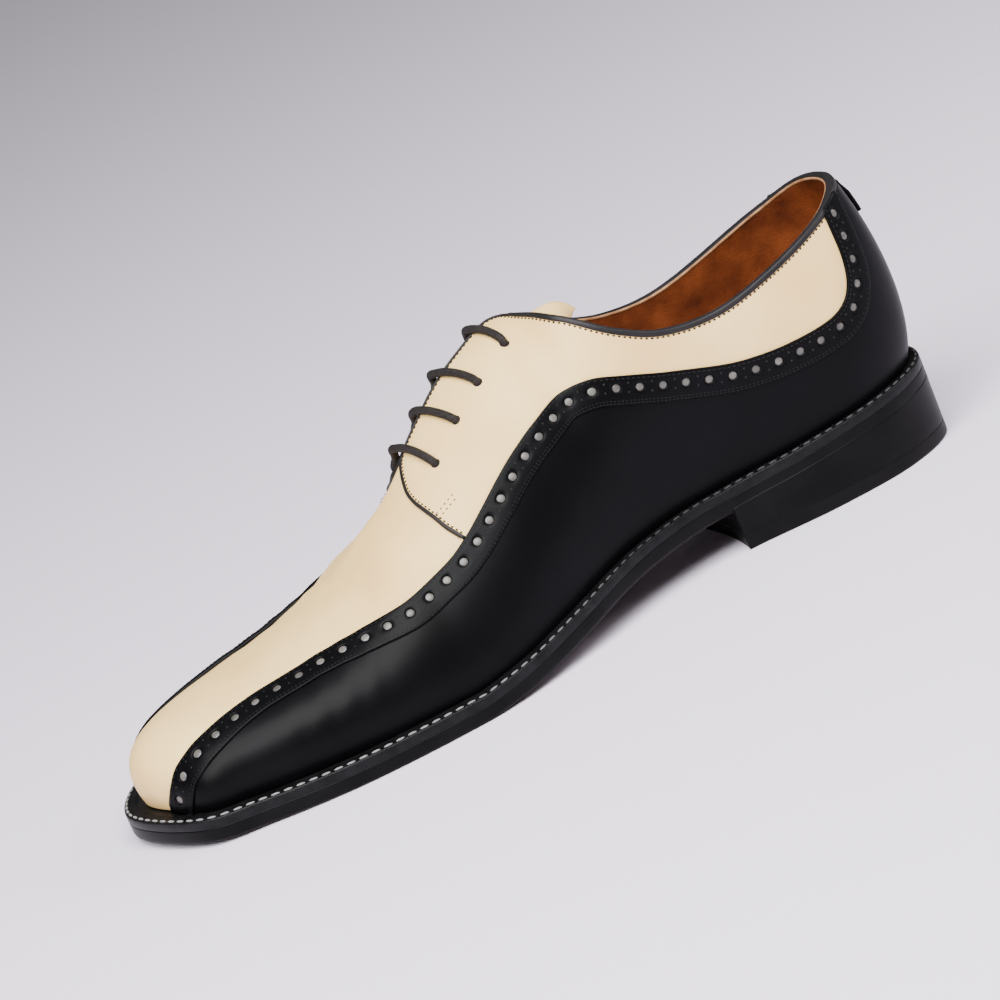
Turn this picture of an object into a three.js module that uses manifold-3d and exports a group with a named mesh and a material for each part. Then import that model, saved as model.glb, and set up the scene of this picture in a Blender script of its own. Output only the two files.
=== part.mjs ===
import * as THREE from 'three';
import { mergeVertices } from 'three/addons/utils/BufferGeometryUtils.js';
import Module from 'manifold-3d';

// A man's two-tone derby dress shoe for the left foot, in millimetres.
// The toe points along +X, the outer side of the foot is +Y and the floor is z = 0.
// The shoe is first laid out with its heel back at x = 0, and centred at the very end.

// Sole and heel
const outsoleLength = 305;
const ballWidth = 108;
const outsoleThickness = 5;
const outsoleEdgeBevel = 1;
const weltThickness = 3.2;
const weltShowToe = 7.5;
const weltShowHeel = 5;
const weltInset = 0.4;
const heelBackHeight = 20;
const heelBreastHeight = 14;
const heelLength = 88;
const heelLean = 0.4;
const heelTopInset = 0.2;
const heelLiftThickness = 5;
const breastHollow = 2.5;
const toeSpring = 2;

// Upper
const instepHeight = 101;
const backHeight = 94;
const wallThickness = 1.8;
const quarterLift = 1;
const wingThickness = 1.4;
const slotHalfTop = 4.5;
const slotHalfBottom = 9;
const slotEndLength = 9;

// Insole, tongue, tab and lace
const insoleThickness = 6;
const tongueThickness = 1.8;
const tongueDrop = 2.2;
const tongueTuck = 16;
const tongueTipReach = 19;
const tongueTipDrop = 2.5;
const tongueFoot = 0.64;
const tabHeight = 9;
const tabHalfWidth = 5;
const tabThickness = 1.5;
const tabBelowCollar = 7;
const laceDiameter = 2.6;
const laceSag = 0.8;
const eyeletInset = 13.3;
const eyeletCount = 4;

// What touches keeps this gap
const clearance = 0.3;

// How far the welt reaches inwards past the foot of the upper
const weltInner = wallThickness + 1;

// The outline of the outsole seen from above, walked from the heel back along the outer side
// to the toe and home along the inner side. along is a share of the length, across of ballWidth.
const outlineRows = [
  { along: 0.0, across: 0.0 },
  { along: 0.022, across: 0.18 },
  { along: 0.09, across: 0.29 },
  { along: 0.185, across: 0.303 },
  { along: 0.295, across: 0.262 },
  { along: 0.4, across: 0.315 },
  { along: 0.5, across: 0.43 },
  { along: 0.6, across: 0.507 },
  { along: 0.7, across: 0.518 },
  { along: 0.8, across: 0.488 },
  { along: 0.89, across: 0.412 },
  { along: 0.958, across: 0.318 },
  { along: 1.0, across: -0.01 },
  { along: 0.96, across: -0.305 },
  { along: 0.895, across: -0.405 },
  { along: 0.81, across: -0.465 },
  { along: 0.71, across: -0.478 },
  { along: 0.6, across: -0.41 },
  { along: 0.49, across: -0.29 },
  { along: 0.385, across: -0.235 },
  { along: 0.285, across: -0.262 },
  { along: 0.185, across: -0.3 },
  { along: 0.09, across: -0.29 },
  { along: 0.022, across: -0.18 },
];

// One row for each rib of the last, from the heel back (0) to the toe tip (12), both sides alike.
// A rib climbs from the sole to the crest of the shoe. crest is where it meets the crest, as a
// share of the length. bulge is its swing outwards and reach its flat run at the crest, as
// shares of ballWidth. rise is its climb before it turns in, as a share of its height.
const ribRows = [
  { crest: 0.12, bulge: 0.14, rise: 0.3, reach: 0.25 },
  { crest: 0.125, bulge: 0.135, rise: 0.3, reach: 0.25 },
  { crest: 0.14, bulge: 0.1, rise: 0.32, reach: 0.22 },
  { crest: 0.19, bulge: 0.085, rise: 0.34, reach: 0.21 },
  { crest: 0.285, bulge: 0.11, rise: 0.34, reach: 0.24 },
  { crest: 0.385, bulge: 0.09, rise: 0.34, reach: 0.31 },
  { crest: 0.475, bulge: 0.035, rise: 0.35, reach: 0.31 },
  { crest: 0.565, bulge: 0.01, rise: 0.36, reach: 0.29 },
  { crest: 0.67, bulge: 0.023, rise: 0.42, reach: 0.35 },
  { crest: 0.775, bulge: 0.037, rise: 0.5, reach: 0.38 },
  { crest: 0.86, bulge: 0.04, rise: 0.52, reach: 0.31 },
  { crest: 0.905, bulge: 0.035, rise: 0.52, reach: 0.22 },
  { crest: 0.92, bulge: 0.03, rise: 0.52, reach: 0.15 },
];
const toeRib = ribRows.length - 1;
const ringRibs = outlineRows.length;

// The crest of the last. height is a share of instepHeight, side of ballWidth.
// Behind the instep the crest is open air, and only steers the sides of the quarters.
const crestRows = [
  { along: 0.1, height: 1.3, side: 0.0 },
  { along: 0.28, height: 1.28, side: -0.02 },
  { along: 0.36, height: 1.1, side: -0.06 },
  { along: 0.4, height: 0.978, side: -0.08 },
  { along: 0.44, height: 0.955, side: -0.08 },
  { along: 0.49, height: 0.895, side: -0.065 },
  { along: 0.53, height: 0.812, side: -0.045 },
  { along: 0.57, height: 0.725, side: -0.025 },
  { along: 0.61, height: 0.635, side: -0.01 },
  { along: 0.65, height: 0.568, side: 0.0 },
  { along: 0.69, height: 0.488, side: 0.0 },
  { along: 0.73, height: 0.43, side: 0.0 },
  { along: 0.77, height: 0.392, side: 0.0 },
  { along: 0.82, height: 0.367, side: 0.0 },
  { along: 0.87, height: 0.35, side: 0.0 },
  { along: 0.92, height: 0.33, side: 0.0 },
];

// The underside of the sole ahead of the heel, as a share of heelBreastHeight.
const archRows = [
  { along: 0.28, height: 1.0 },
  { along: 0.34, height: 0.98 },
  { along: 0.4, height: 0.88 },
  { along: 0.46, height: 0.7 },
  { along: 0.52, height: 0.44 },
  { along: 0.58, height: 0.18 },
  { along: 0.64, height: 0.0 },
];
const treadStart = 0.64;
const treadEnd = 0.76;

// The collar's edge seen from the side, as a share of backHeight.
const collarRows = [
  { along: 0.0, height: 1.0 },
  { along: 0.023, height: 1.0 },
  { along: 0.07, height: 0.94 },
  { along: 0.16, height: 0.855 },
  { along: 0.225, height: 0.82 },
  { along: 0.285, height: 0.845 },
  { along: 0.33, height: 0.92 },
  { along: 0.37, height: 1.02 },
  { along: 0.41, height: 1.09 },
];

// The wing's upper edge at each rib, as a share of backHeight.
const wingRows = [
  { rib: 0.0, height: 1.25 },
  { rib: 1.2, height: 1.16 },
  { rib: 1.45, height: 1.02 },
  { rib: 1.6, height: 0.9 },
  { rib: 1.7, height: 0.77 },
  { rib: 1.82, height: 0.69 },
  { rib: 2.0, height: 0.64 },
  { rib: 2.3, height: 0.613 },
  { rib: 2.8, height: 0.608 },
  { rib: 3.2, height: 0.62 },
  { rib: 3.5, height: 0.642 },
  { rib: 4.0, height: 0.708 },
  { rib: 4.4, height: 0.765 },
  { rib: 4.75, height: 0.805 },
  { rib: 5.1, height: 0.8 },
  { rib: 5.4, height: 0.772 },
  { rib: 5.75, height: 0.727 },
  { rib: 6.05, height: 0.682 },
  { rib: 6.5, height: 0.595 },
  { rib: 6.8, height: 0.54 },
  { rib: 7.15, height: 0.49 },
  { rib: 7.7, height: 0.443 },
  { rib: 8.3, height: 0.411 },
  { rib: 9.0, height: 0.385 },
  { rib: 9.6, height: 0.367 },
  { rib: 10.0, height: 0.35 },
  { rib: 10.4, height: 0.325 },
  { rib: 10.8, height: 0.285 },
  { rib: 11.1, height: 0.245 },
  { rib: 11.3, height: 0.19 },
  { rib: 11.5, height: 0.115 },
];
const wingFrontRib = 11.5;

// The quarters' front edge lies over the vamp on this rib, and the throat ends a little ahead.
const quarterFrontRib = 7.1;
const throatAlong = 0.59;
const topEyeletAlong = 0.421;
const bottomEyeletAlong = 0.542;

const leather = { roughness: 0.42, metalness: 0 };
const creamLeather = new THREE.MeshStandardMaterial({ ...leather, color: 0xe6d8bf });
const blackLeather = new THREE.MeshStandardMaterial({ ...leather, color: 0x17171a });
const blackEdge = new THREE.MeshStandardMaterial({ color: 0x1b1a1b, roughness: 0.5, metalness: 0 });
const rubber = new THREE.MeshStandardMaterial({ color: 0x151515, roughness: 0.75, metalness: 0 });
const tanLeather = new THREE.MeshStandardMaterial({ color: 0xa8683a, roughness: 0.6, metalness: 0 });
const laceCotton = new THREE.MeshStandardMaterial({ color: 0x2b2624, roughness: 0.85, metalness: 0 });

// Smooth curve through four neighbouring values, at w between the middle two.
function through(before, from, to, after, w) {
  const rise = (to - before) / 2;
  const fall = (after - from) / 2;
  return hermite(from, to, rise, fall, w);
}

function hermite(from, to, rise, fall, w) {
  const w2 = w * w;
  const w3 = w2 * w;
  return (2 * w3 - 3 * w2 + 1) * from + (w3 - 2 * w2 + w) * rise
    + (3 * w2 - 2 * w3) * to + (w3 - w2) * fall;
}

// A column of a table whose rows close in a ring, at a place between rows.
function ringAt(rows, column, place) {
  const n = rows.length;
  const whole = Math.floor(place);
  const row = (k) => rows[(((whole + k) % n) + n) % n][column];
  return through(row(-1), row(0), row(1), row(2), place - whole);
}

// A column of a table whose rows stand at 0, 1, 2 and so on.
function rowAt(rows, column, place) {
  const last = rows.length - 1;
  const whole = Math.min(Math.max(Math.floor(place), 0), last - 1);
  const row = (k) => rows[Math.min(Math.max(whole + k, 0), last)][column];
  return through(row(-1), row(0), row(1), row(2), place - whole);
}

// A column of a table whose rows stand where their place column says.
function curveAt(rows, place, column, x) {
  const last = rows.length - 1;
  if (x <= rows[0][place]) return rows[0][column];
  if (x >= rows[last][place]) return rows[last][column];
  const i = rows.findIndex((row) => row[place] > x) - 1;
  const slope = (k) => {
    const a = rows[Math.max(k - 1, 0)];
    const b = rows[Math.min(k + 1, last)];
    return (b[column] - a[column]) / (b[place] - a[place]);
  };
  const span = rows[i + 1][place] - rows[i][place];
  const w = (x - rows[i][place]) / span;
  return hermite(rows[i][column], rows[i + 1][column], slope(i) * span, slope(i + 1) * span, w);
}

function mix(a, b, w) {
  return a + (b - a) * w;
}

// Rib number counted from the heel, whichever side of the ring it stands on.
function ribOf(ring) {
  return ring <= toeRib ? ring : ringRibs - ring;
}

// A point of the sole's outline, moved inwards.
function outlinePoint(ring, inset = 0) {
  const step = 0.01;
  const place = (r) => new THREE.Vector2(
    ringAt(outlineRows, 'along', r) * outsoleLength,
    ringAt(outlineRows, 'across', r) * ballWidth,
  );
  const ahead = place(ring + step).sub(place(ring - step)).normalize();
  return place(ring).add(new THREE.Vector2(ahead.y, -ahead.x).multiplyScalar(inset));
}

// Height of the sole's underside over the floor.
function underside(x) {
  const along = x / outsoleLength;
  if (x <= heelLength) return mix(heelBackHeight, heelBreastHeight, Math.max(x, 0) / heelLength);
  if (along < treadStart) return curveAt(archRows, 'along', 'height', along) * heelBreastHeight;
  const past = Math.max(along - treadEnd, 0) / (1 - treadEnd);
  return toeSpring * Math.min(past, 1.1) ** 2;
}

function outsoleTop(x) {
  return underside(x) + outsoleThickness;
}

function weltTop(x) {
  return outsoleTop(x) + clearance + weltThickness;
}

// How far the welt shows past the upper.
function weltShow(ring) {
  const toward = THREE.MathUtils.smoothstep(ribOf(ring), 3, 9);
  return mix(weltShowHeel, weltShowToe, toward);
}

// The feather line, where the upper meets the welt.
function featherPoint(ring, inset = 0) {
  const p = outlinePoint(ring, weltShow(ring) + inset);
  return new THREE.Vector3(p.x, p.y, weltTop(p.x) + clearance);
}

function crestPoint(rib) {
  const along = rowAt(ribRows, 'crest', rib);
  return new THREE.Vector3(
    along * outsoleLength,
    curveAt(crestRows, 'along', 'side', along) * ballWidth,
    curveAt(crestRows, 'along', 'height', along) * instepHeight,
  );
}

function crestSlope(rib) {
  const along = rowAt(ribRows, 'crest', rib);
  const step = 0.004;
  const height = (a) => curveAt(crestRows, 'along', 'height', a) * instepHeight;
  return (height(along) - height(along - step)) / (step * outsoleLength);
}

// The last: climb is 0 at the feather line and 1 at the crest.
function lastPoint(ring, climb) {
  const rib = ribOf(ring);
  const foot = featherPoint(ring);
  const crest = crestPoint(rib);
  const inwards = new THREE.Vector3(crest.x - foot.x, crest.y - foot.y, 0).normalize();
  const bulge = rowAt(ribRows, 'bulge', rib) * ballWidth;
  const reach = rowAt(ribRows, 'reach', rib) * ballWidth;
  const flank = foot.clone().addScaledVector(inwards, -bulge);
  flank.z = mix(foot.z, crest.z, rowAt(ribRows, 'rise', rib));
  const brow = crest.clone().addScaledVector(inwards, -reach);
  brow.z = crest.z - crestSlope(rib) * inwards.x * reach;
  const back = 1 - climb;
  return foot.multiplyScalar(back ** 3)
    .addScaledVector(flank, 3 * back * back * climb)
    .addScaledVector(brow, 3 * back * climb * climb)
    .addScaledVector(crest, climb ** 3);
}

function lastNormal(ring, climb) {
  if (climb > 0.999) return new THREE.Vector3(-crestSlope(ribOf(ring)), 0, 1).normalize();
  const step = 0.02;
  const low = Math.max(climb - step, 0);
  const high = Math.min(climb + step, 1);
  const along = lastPoint(ring + step, climb).sub(lastPoint(ring - step, climb));
  const up = lastPoint(ring, high).sub(lastPoint(ring, low));
  return up.cross(along).normalize();
}

// A point off the last, never lower than the welt allows.
function shellPoint(ring, climb, offset) {
  const p = lastPoint(ring, climb).addScaledVector(lastNormal(ring, climb), offset);
  p.z = Math.max(p.z, weltTop(p.x) + clearance);
  return p;
}

// The climb at which a rule first holds, walking up a rib.
function climbWhere(ring, holds) {
  const steps = 24;
  let high = 1;
  let low = 0;
  for (let i = 1; i <= steps; i += 1) {
    if (holds(lastPoint(ring, i / steps))) {
      high = i / steps;
      low = (i - 1) / steps;
      break;
    }
    if (i === steps) return 1;
  }
  for (let i = 0; i < 18; i += 1) {
    const middle = (low + high) / 2;
    if (holds(lastPoint(ring, middle))) high = middle;
    else low = middle;
  }
  return high;
}

// The climb at which a rib, walked down from the crest, is this far from it in plan.
function climbFromCrest(ring, distance) {
  const crest = crestPoint(ribOf(ring));
  const away = (climb) => {
    const p = lastPoint(ring, climb);
    return Math.hypot(p.x - crest.x, p.y - crest.y);
  };
  const steps = 24;
  let high = 1;
  while (high > 0 && away(high - 1 / steps) < distance) high -= 1 / steps;
  let low = Math.max(high - 1 / steps, 0);
  for (let i = 0; i < 18; i += 1) {
    const middle = (low + high) / 2;
    if (away(middle) < distance) high = middle;
    else low = middle;
  }
  return high;
}

// Half the width of the throat's slot at a place along the shoe.
function slotHalf(x) {
  const top = topEyeletAlong * outsoleLength;
  const bottom = throatAlong * outsoleLength;
  const open = mix(slotHalfTop, slotHalfBottom, (x - top) / (bottom - top));
  const toEnd = (bottom - x) / slotEndLength;
  if (toEnd <= 0) return 0;
  return toEnd >= 1 ? open : open * Math.sqrt(1 - (1 - toEnd) ** 2);
}

function collarHeight(x) {
  return curveAt(collarRows, 'along', 'height', x / outsoleLength) * backHeight;
}

// Where the upper ends at the collar or at the throat.
const throatRib = (() => {
  let low = quarterFrontRib - 1;
  let high = quarterFrontRib + 2;
  for (let i = 0; i < 40; i += 1) {
    const middle = (low + high) / 2;
    if (rowAt(ribRows, 'crest', middle) < throatAlong) low = middle;
    else high = middle;
  }
  return high;
})();

function edgeClimb(ring) {
  const rib = ribOf(ring);
  if (rib >= throatRib) return 1;
  const crest = crestPoint(rib);
  const collar = climbWhere(ring, (p) => p.z > collarHeight(p.x));
  const slot = climbFromCrest(ring, slotHalf(crest.x));
  return Math.min(collar, slot);
}

// Where the wing's upper edge lies.
function wingClimb(ring) {
  const rib = ribOf(ring);
  const edge = edgeClimb(ring);
  if (rib >= wingFrontRib) return 0;
  const height = curveAt(wingRows, 'rib', 'height', rib) * backHeight;
  return Math.min(climbWhere(ring, (p) => p.z > height), edge);
}

// Triangles from rows of points, welded, with flat slivers dropped and faces turned outwards.
function meshFrom(triangles) {
  const flat = [];
  for (const corner of triangles.flat()) flat.push(corner.x, corner.y, corner.z);
  const loose = new THREE.BufferGeometry();
  loose.setAttribute('position', new THREE.Float32BufferAttribute(flat, 3));
  const welded = mergeVertices(loose, 2e-3);
  const index = Array.from(welded.index.array);
  const kept = [];
  for (let i = 0; i < index.length; i += 3) {
    const [a, b, c] = index.slice(i, i + 3);
    if (a !== b && b !== c && a !== c) kept.push(a, b, c);
  }
  welded.setIndex(kept);
  return signedVolume(welded) < 0 ? turned(welded) : welded;
}

function signedVolume(geometry) {
  const at = geometry.getAttribute('position');
  const index = geometry.index.array;
  const corner = (i) => new THREE.Vector3().fromBufferAttribute(at, index[i]);
  let volume = 0;
  for (let i = 0; i < index.length; i += 3) {
    volume += corner(i).dot(corner(i + 1).cross(corner(i + 2)));
  }
  return volume;
}

function turned(geometry) {
  const index = Array.from(geometry.index.array);
  for (let i = 0; i < index.length; i += 3) [index[i + 1], index[i + 2]] = [index[i + 2], index[i + 1]];
  geometry.setIndex(index);
  return geometry;
}

function quad(a, b, c, d) {
  return [[a, b, c], [a, c, d]];
}

// A solid between two grids of the same size. Where ring is true the columns close on
// themselves. shut(column) is true where the top row already meets its mirror image.
function solidBetween(outer, inner, { ring = false, shut = () => false } = {}) {
  const triangles = [];
  const columns = outer.length;
  const rows = outer[0].length;
  const spans = ring ? columns : columns - 1;
  for (let i = 0; i < spans; i += 1) {
    const next = (i + 1) % columns;
    for (let j = 0; j < rows - 1; j += 1) {
      triangles.push(...quad(outer[i][j], outer[next][j], outer[next][j + 1], outer[i][j + 1]));
      triangles.push(...quad(inner[i][j], inner[i][j + 1], inner[next][j + 1], inner[next][j]));
    }
    triangles.push(...quad(outer[i][0], inner[i][0], inner[next][0], outer[next][0]));
    if (!(shut(i) && shut(next))) {
      const top = rows - 1;
      triangles.push(...quad(outer[i][top], outer[next][top], inner[next][top], inner[i][top]));
    }
  }
  if (!ring) {
    const end = columns - 1;
    for (let j = 0; j < rows - 1; j += 1) {
      triangles.push(...quad(outer[0][j], outer[0][j + 1], inner[0][j + 1], inner[0][j]));
      triangles.push(...quad(outer[end][j], inner[end][j], inner[end][j + 1], outer[end][j + 1]));
    }
  }
  return meshFrom(triangles);
}

// A solid from one closed or crest-to-crest profile at each place of the ring.
function solidOfProfiles(profiles, closedProfile) {
  const triangles = [];
  const rows = profiles[0].length;
  const spans = closedProfile ? rows : rows - 1;
  profiles.forEach((profile, i) => {
    const next = profiles[(i + 1) % profiles.length];
    for (let j = 0; j < spans; j += 1) {
      const k = (j + 1) % rows;
      triangles.push(...quad(profile[j], next[j], next[k], profile[k]));
    }
  });
  return meshFrom(triangles);
}

// A stack of rings of points, closed at both ends by fans.
function solidOfLevels(levels) {
  const triangles = [];
  const middle = (level) => level.reduce((sum, p) => sum.add(p), new THREE.Vector3()).divideScalar(level.length);
  levels.slice(1).forEach((level, k) => {
    level.forEach((p, i) => {
      const next = (i + 1) % level.length;
      triangles.push(...quad(levels[k][i], levels[k][next], level[next], p));
    });
  });
  const fan = (level, reversed) => {
    const hub = middle(level);
    level.forEach((p, i) => {
      const next = level[(i + 1) % level.length];
      triangles.push(reversed ? [hub, next, p] : [hub, p, next]);
    });
  };
  fan(levels[0], true);
  fan(levels.at(-1), false);
  return meshFrom(triangles);
}

function spread(from, to, count) {
  return Array.from({ length: count + 1 }, (_, i) => mix(from, to, i / count));
}

const wasm = await Module();
wasm.setup();

function toManifold(geometry) {
  return new wasm.Manifold(new wasm.Mesh({
    numProp: 3,
    vertProperties: geometry.getAttribute('position').array,
    triVerts: new Uint32Array(geometry.index.array),
  }));
}

function toGeometry(manifold) {
  const mesh = manifold.getMesh();
  const geometry = new THREE.BufferGeometry();
  geometry.setAttribute('position', new THREE.BufferAttribute(mesh.vertProperties, 3));
  geometry.setIndex(Array.from(mesh.triVerts));
  return geometry;
}

function piece(name, geometry, material) {
  geometry.computeVertexNormals();
  const mesh = new THREE.Mesh(geometry, material);
  mesh.name = name;
  return mesh;
}

// Places round the whole ring, closer together at the heel and the toe.
const halfRing = [
  ...spread(0, 2, 8),
  ...spread(2, quarterFrontRib, 14).slice(1),
  ...spread(quarterFrontRib, throatRib, 2).slice(1),
  ...spread(throatRib, 11, 8).slice(1),
  ...spread(11, wingFrontRib, 3).slice(1),
  ...spread(wingFrontRib, toeRib, 2).slice(1),
];
const wholeRing = [...halfRing, ...halfRing.slice(1, -1).reverse().map((rib) => ringRibs - rib)];

// A point half way from the welt's inner edge to the crest line, shared by all that lies flat.
function middlePoint(ring) {
  const from = outlinePoint(ring, weltShow(ring) + weltInner);
  const crest = crestPoint(ribOf(ring));
  return new THREE.Vector2(mix(from.x, crest.x, 0.5), mix(from.y, crest.y, 0.5));
}

// Outsole: one thickness of leather under the whole shoe, its lower edge bevelled.
function outsole() {
  const profiles = wholeRing.map((ring) => {
    const edge = outlinePoint(ring);
    const trimmed = outlinePoint(ring, outsoleEdgeBevel);
    const inside = outlinePoint(ring, weltShow(ring) + weltInner);
    const middle = middlePoint(ring);
    const crest = crestPoint(ribOf(ring));
    const low = (p, lift = 0) => new THREE.Vector3(p.x, p.y, underside(p.x) + lift);
    const high = (p) => new THREE.Vector3(p.x, p.y, outsoleTop(p.x));
    return [
      low(crest), low(middle), low(trimmed), low(edge, outsoleEdgeBevel),
      high(edge), high(inside), high(middle), high(crest),
    ];
  });
  return piece('outsole', solidOfProfiles(profiles, false), blackEdge);
}

// Welt: a strip all the way round, with its top edge bevelled, under the foot of the upper.
function welt() {
  const bevel = weltThickness * 0.25;
  const profiles = wholeRing.map((ring) => {
    const edge = outlinePoint(ring, weltInset);
    const shoulder = outlinePoint(ring, weltInset + bevel);
    const inside = outlinePoint(ring, weltShow(ring) + weltInner);
    const low = (p) => new THREE.Vector3(p.x, p.y, outsoleTop(p.x) + clearance);
    const high = (p, drop = 0) => new THREE.Vector3(p.x, p.y, weltTop(p.x) - drop);
    return [low(edge), low(inside), high(inside), high(shoulder), high(edge, bevel)];
  });
  return piece('welt', solidOfProfiles(profiles, true), blackEdge);
}

// Insole: fills the welt's ring and steps out over it inside the upper.
function insole() {
  const profiles = wholeRing.map((ring) => {
    const inRing = outlinePoint(ring, weltShow(ring) + weltInner + clearance);
    const inUpper = outlinePoint(ring, weltShow(ring) + wallThickness + 2 * clearance);
    const middle = middlePoint(ring);
    const crest = crestPoint(ribOf(ring));
    const at = (p, z) => new THREE.Vector3(p.x, p.y, z);
    const bottom = (p) => at(p, outsoleTop(p.x) + clearance);
    const step = (p) => at(p, weltTop(p.x) + clearance);
    const top = (p) => at(p, outsoleTop(p.x) + clearance + insoleThickness);
    return [
      top(crest), top(middle), top(inUpper), step(inUpper),
      step(inRing), bottom(inRing), bottom(middle), bottom(crest),
    ];
  });
  return piece('insole', solidOfProfiles(profiles, false), tanLeather);
}

// The heel's outline at a lean inwards: round the back and along the hollow breast.
function heelOutline(lean) {
  const breastRib = (sign) => {
    let low = 2;
    let high = 6;
    for (let i = 0; i < 40; i += 1) {
      const middle = (low + high) / 2;
      const ring = sign > 0 ? middle : ringRibs - middle;
      if (outlinePoint(ring).x < heelLength) low = middle;
      else high = middle;
    }
    return high;
  };
  const round = spread(-breastRib(-1), breastRib(1), 26);
  const points = round.map((place) => outlinePoint((place + ringRibs) % ringRibs, lean));
  const first = points[0];
  const last = points.at(-1);
  first.x = heelLength;
  last.x = heelLength;
  const breast = spread(0, 1, 6).slice(1, -1).map((w) => new THREE.Vector2(
    heelLength - breastHollow * 4 * w * (1 - w),
    mix(last.y, first.y, w),
  ));
  return [...points, ...breast];
}

function heelLevel(share, height) {
  return heelOutline(mix(heelLean, heelTopInset, share)).map((p) => new THREE.Vector3(p.x, p.y, height(p.x)));
}

// Heel block: the leather stack between the outsole and its top lift.
function heelBlock() {
  const low = heelLiftThickness + clearance;
  const levels = [
    heelLevel(low / heelBackHeight, () => low),
    heelLevel(1, (x) => mix(heelBackHeight, heelBreastHeight, x / heelLength) - clearance),
  ];
  return piece('heel_block', solidOfLevels(levels), blackEdge);
}

// Top lift: the rubber that meets the floor.
function heelLift() {
  const levels = [
    heelLevel(0, () => 0),
    heelLevel(heelLiftThickness / heelBackHeight, () => heelLiftThickness),
  ];
  return piece('heel_lift', solidOfLevels(levels), rubber);
}

// Climbs of one rib: rows up to the wing's edge, then rows up to the collar or the crest.
const rowsUnderWing = 6;
const rowsOverWing = 6;
function climbRows(ring) {
  const lowest = 0.06;
  const edge = edgeClimb(ring);
  const wing = Math.max(wingClimb(ring), lowest);
  const under = spread(0, wing, rowsUnderWing);
  const over = spread(wing, edge, rowsOverWing);
  return { under, over };
}

// Upper: one hollow wall from the vamp to the heel. The quarters stand a leather's thickness
// proud of the vamp, above the wings and behind the front rib.
function upperShell() {
  const columns = [];
  for (const ring of wholeRing) {
    const rib = ribOf(ring);
    const { under, over } = climbRows(ring);
    const column = (lift) => ({
      shut: rib >= throatRib,
      outer: [
        ...under.map((climb) => shellPoint(ring, climb, 0)),
        ...over.map((climb) => shellPoint(ring, climb, lift)),
      ],
      inner: [...under, ...over].map((climb) => shellPoint(ring, climb, -wallThickness)),
    });
    columns.push(column(rib <= quarterFrontRib ? quarterLift : 0));
  }
  return solidBetween(
    columns.map((c) => c.outer),
    columns.map((c) => c.inner),
    { ring: true, shut: (i) => columns[i].shut },
  );
}

// Places of the eyelets: on the facing, set in from the slot's edge.
function eyeletPlace(index, side) {
  const along = mix(topEyeletAlong, bottomEyeletAlong, index / (eyeletCount - 1));
  let low = 4;
  let high = 8;
  for (let i = 0; i < 40; i += 1) {
    const middle = (low + high) / 2;
    if (rowAt(ribRows, 'crest', middle) < along) low = middle;
    else high = middle;
  }
  const ring = side > 0 ? high : ringRibs - high;
  const crest = crestPoint(high);
  const from = slotHalf(crest.x) + eyeletInset;
  return { ring, climb: climbFromCrest(ring, from) };
}

function tube(points, diameter, sides, steps) {
  const shape = new THREE.Shape();
  for (let i = 0; i < sides; i += 1) {
    const turn = (i / sides) * Math.PI * 2;
    const x = (Math.cos(turn) * diameter) / 2;
    const y = (Math.sin(turn) * diameter) / 2;
    if (i === 0) shape.moveTo(x, y);
    else shape.lineTo(x, y);
  }
  shape.closePath();
  const path = new THREE.CatmullRomCurve3(points, false, 'centripetal');
  const geometry = new THREE.ExtrudeGeometry(shape, { steps, bevelEnabled: false, extrudePath: path });
  geometry.deleteAttribute('normal');
  geometry.deleteAttribute('uv');
  const welded = mergeVertices(geometry, 1e-3);
  return signedVolume(welded) < 0 ? turned(welded) : welded;
}

function upper() {
  let solid = toManifold(upperShell());
  for (let index = 0; index < eyeletCount; index += 1) {
    for (const side of [1, -1]) {
      const { ring, climb } = eyeletPlace(index, side);
      const drill = tube(
        [shellPoint(ring, climb, -wallThickness - 1.5), shellPoint(ring, climb, quarterLift + 1.5)],
        laceDiameter + 2 * clearance + 0.4,
        10,
        1,
      );
      solid = solid.subtract(toManifold(drill));
    }
  }
  return piece('upper', toGeometry(solid), creamLeather);
}

// Wing: the black panel on one side, from beside the toe to the back seam, over the upper.
function wing(name, side) {
  const backSeam = 0.04;
  const ribs = [backSeam, ...halfRing.filter((rib) => rib > backSeam && rib < wingFrontRib)];
  const places = side > 0 ? ribs : ribs.reverse().map((rib) => ringRibs - rib);
  const footLift = 0.012;
  const edgeDrop = 0.008;
  const grid = (offset) => places.map((ring) => {
    const climbs = climbRows(ring).under;
    climbs[0] += footLift;
    climbs[rowsUnderWing] -= edgeDrop;
    return climbs.map((climb) => shellPoint(ring, climb, offset));
  });
  const solid = solidBetween(grid(clearance + wingThickness), grid(clearance));
  return piece(name, solid, blackLeather);
}

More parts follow.
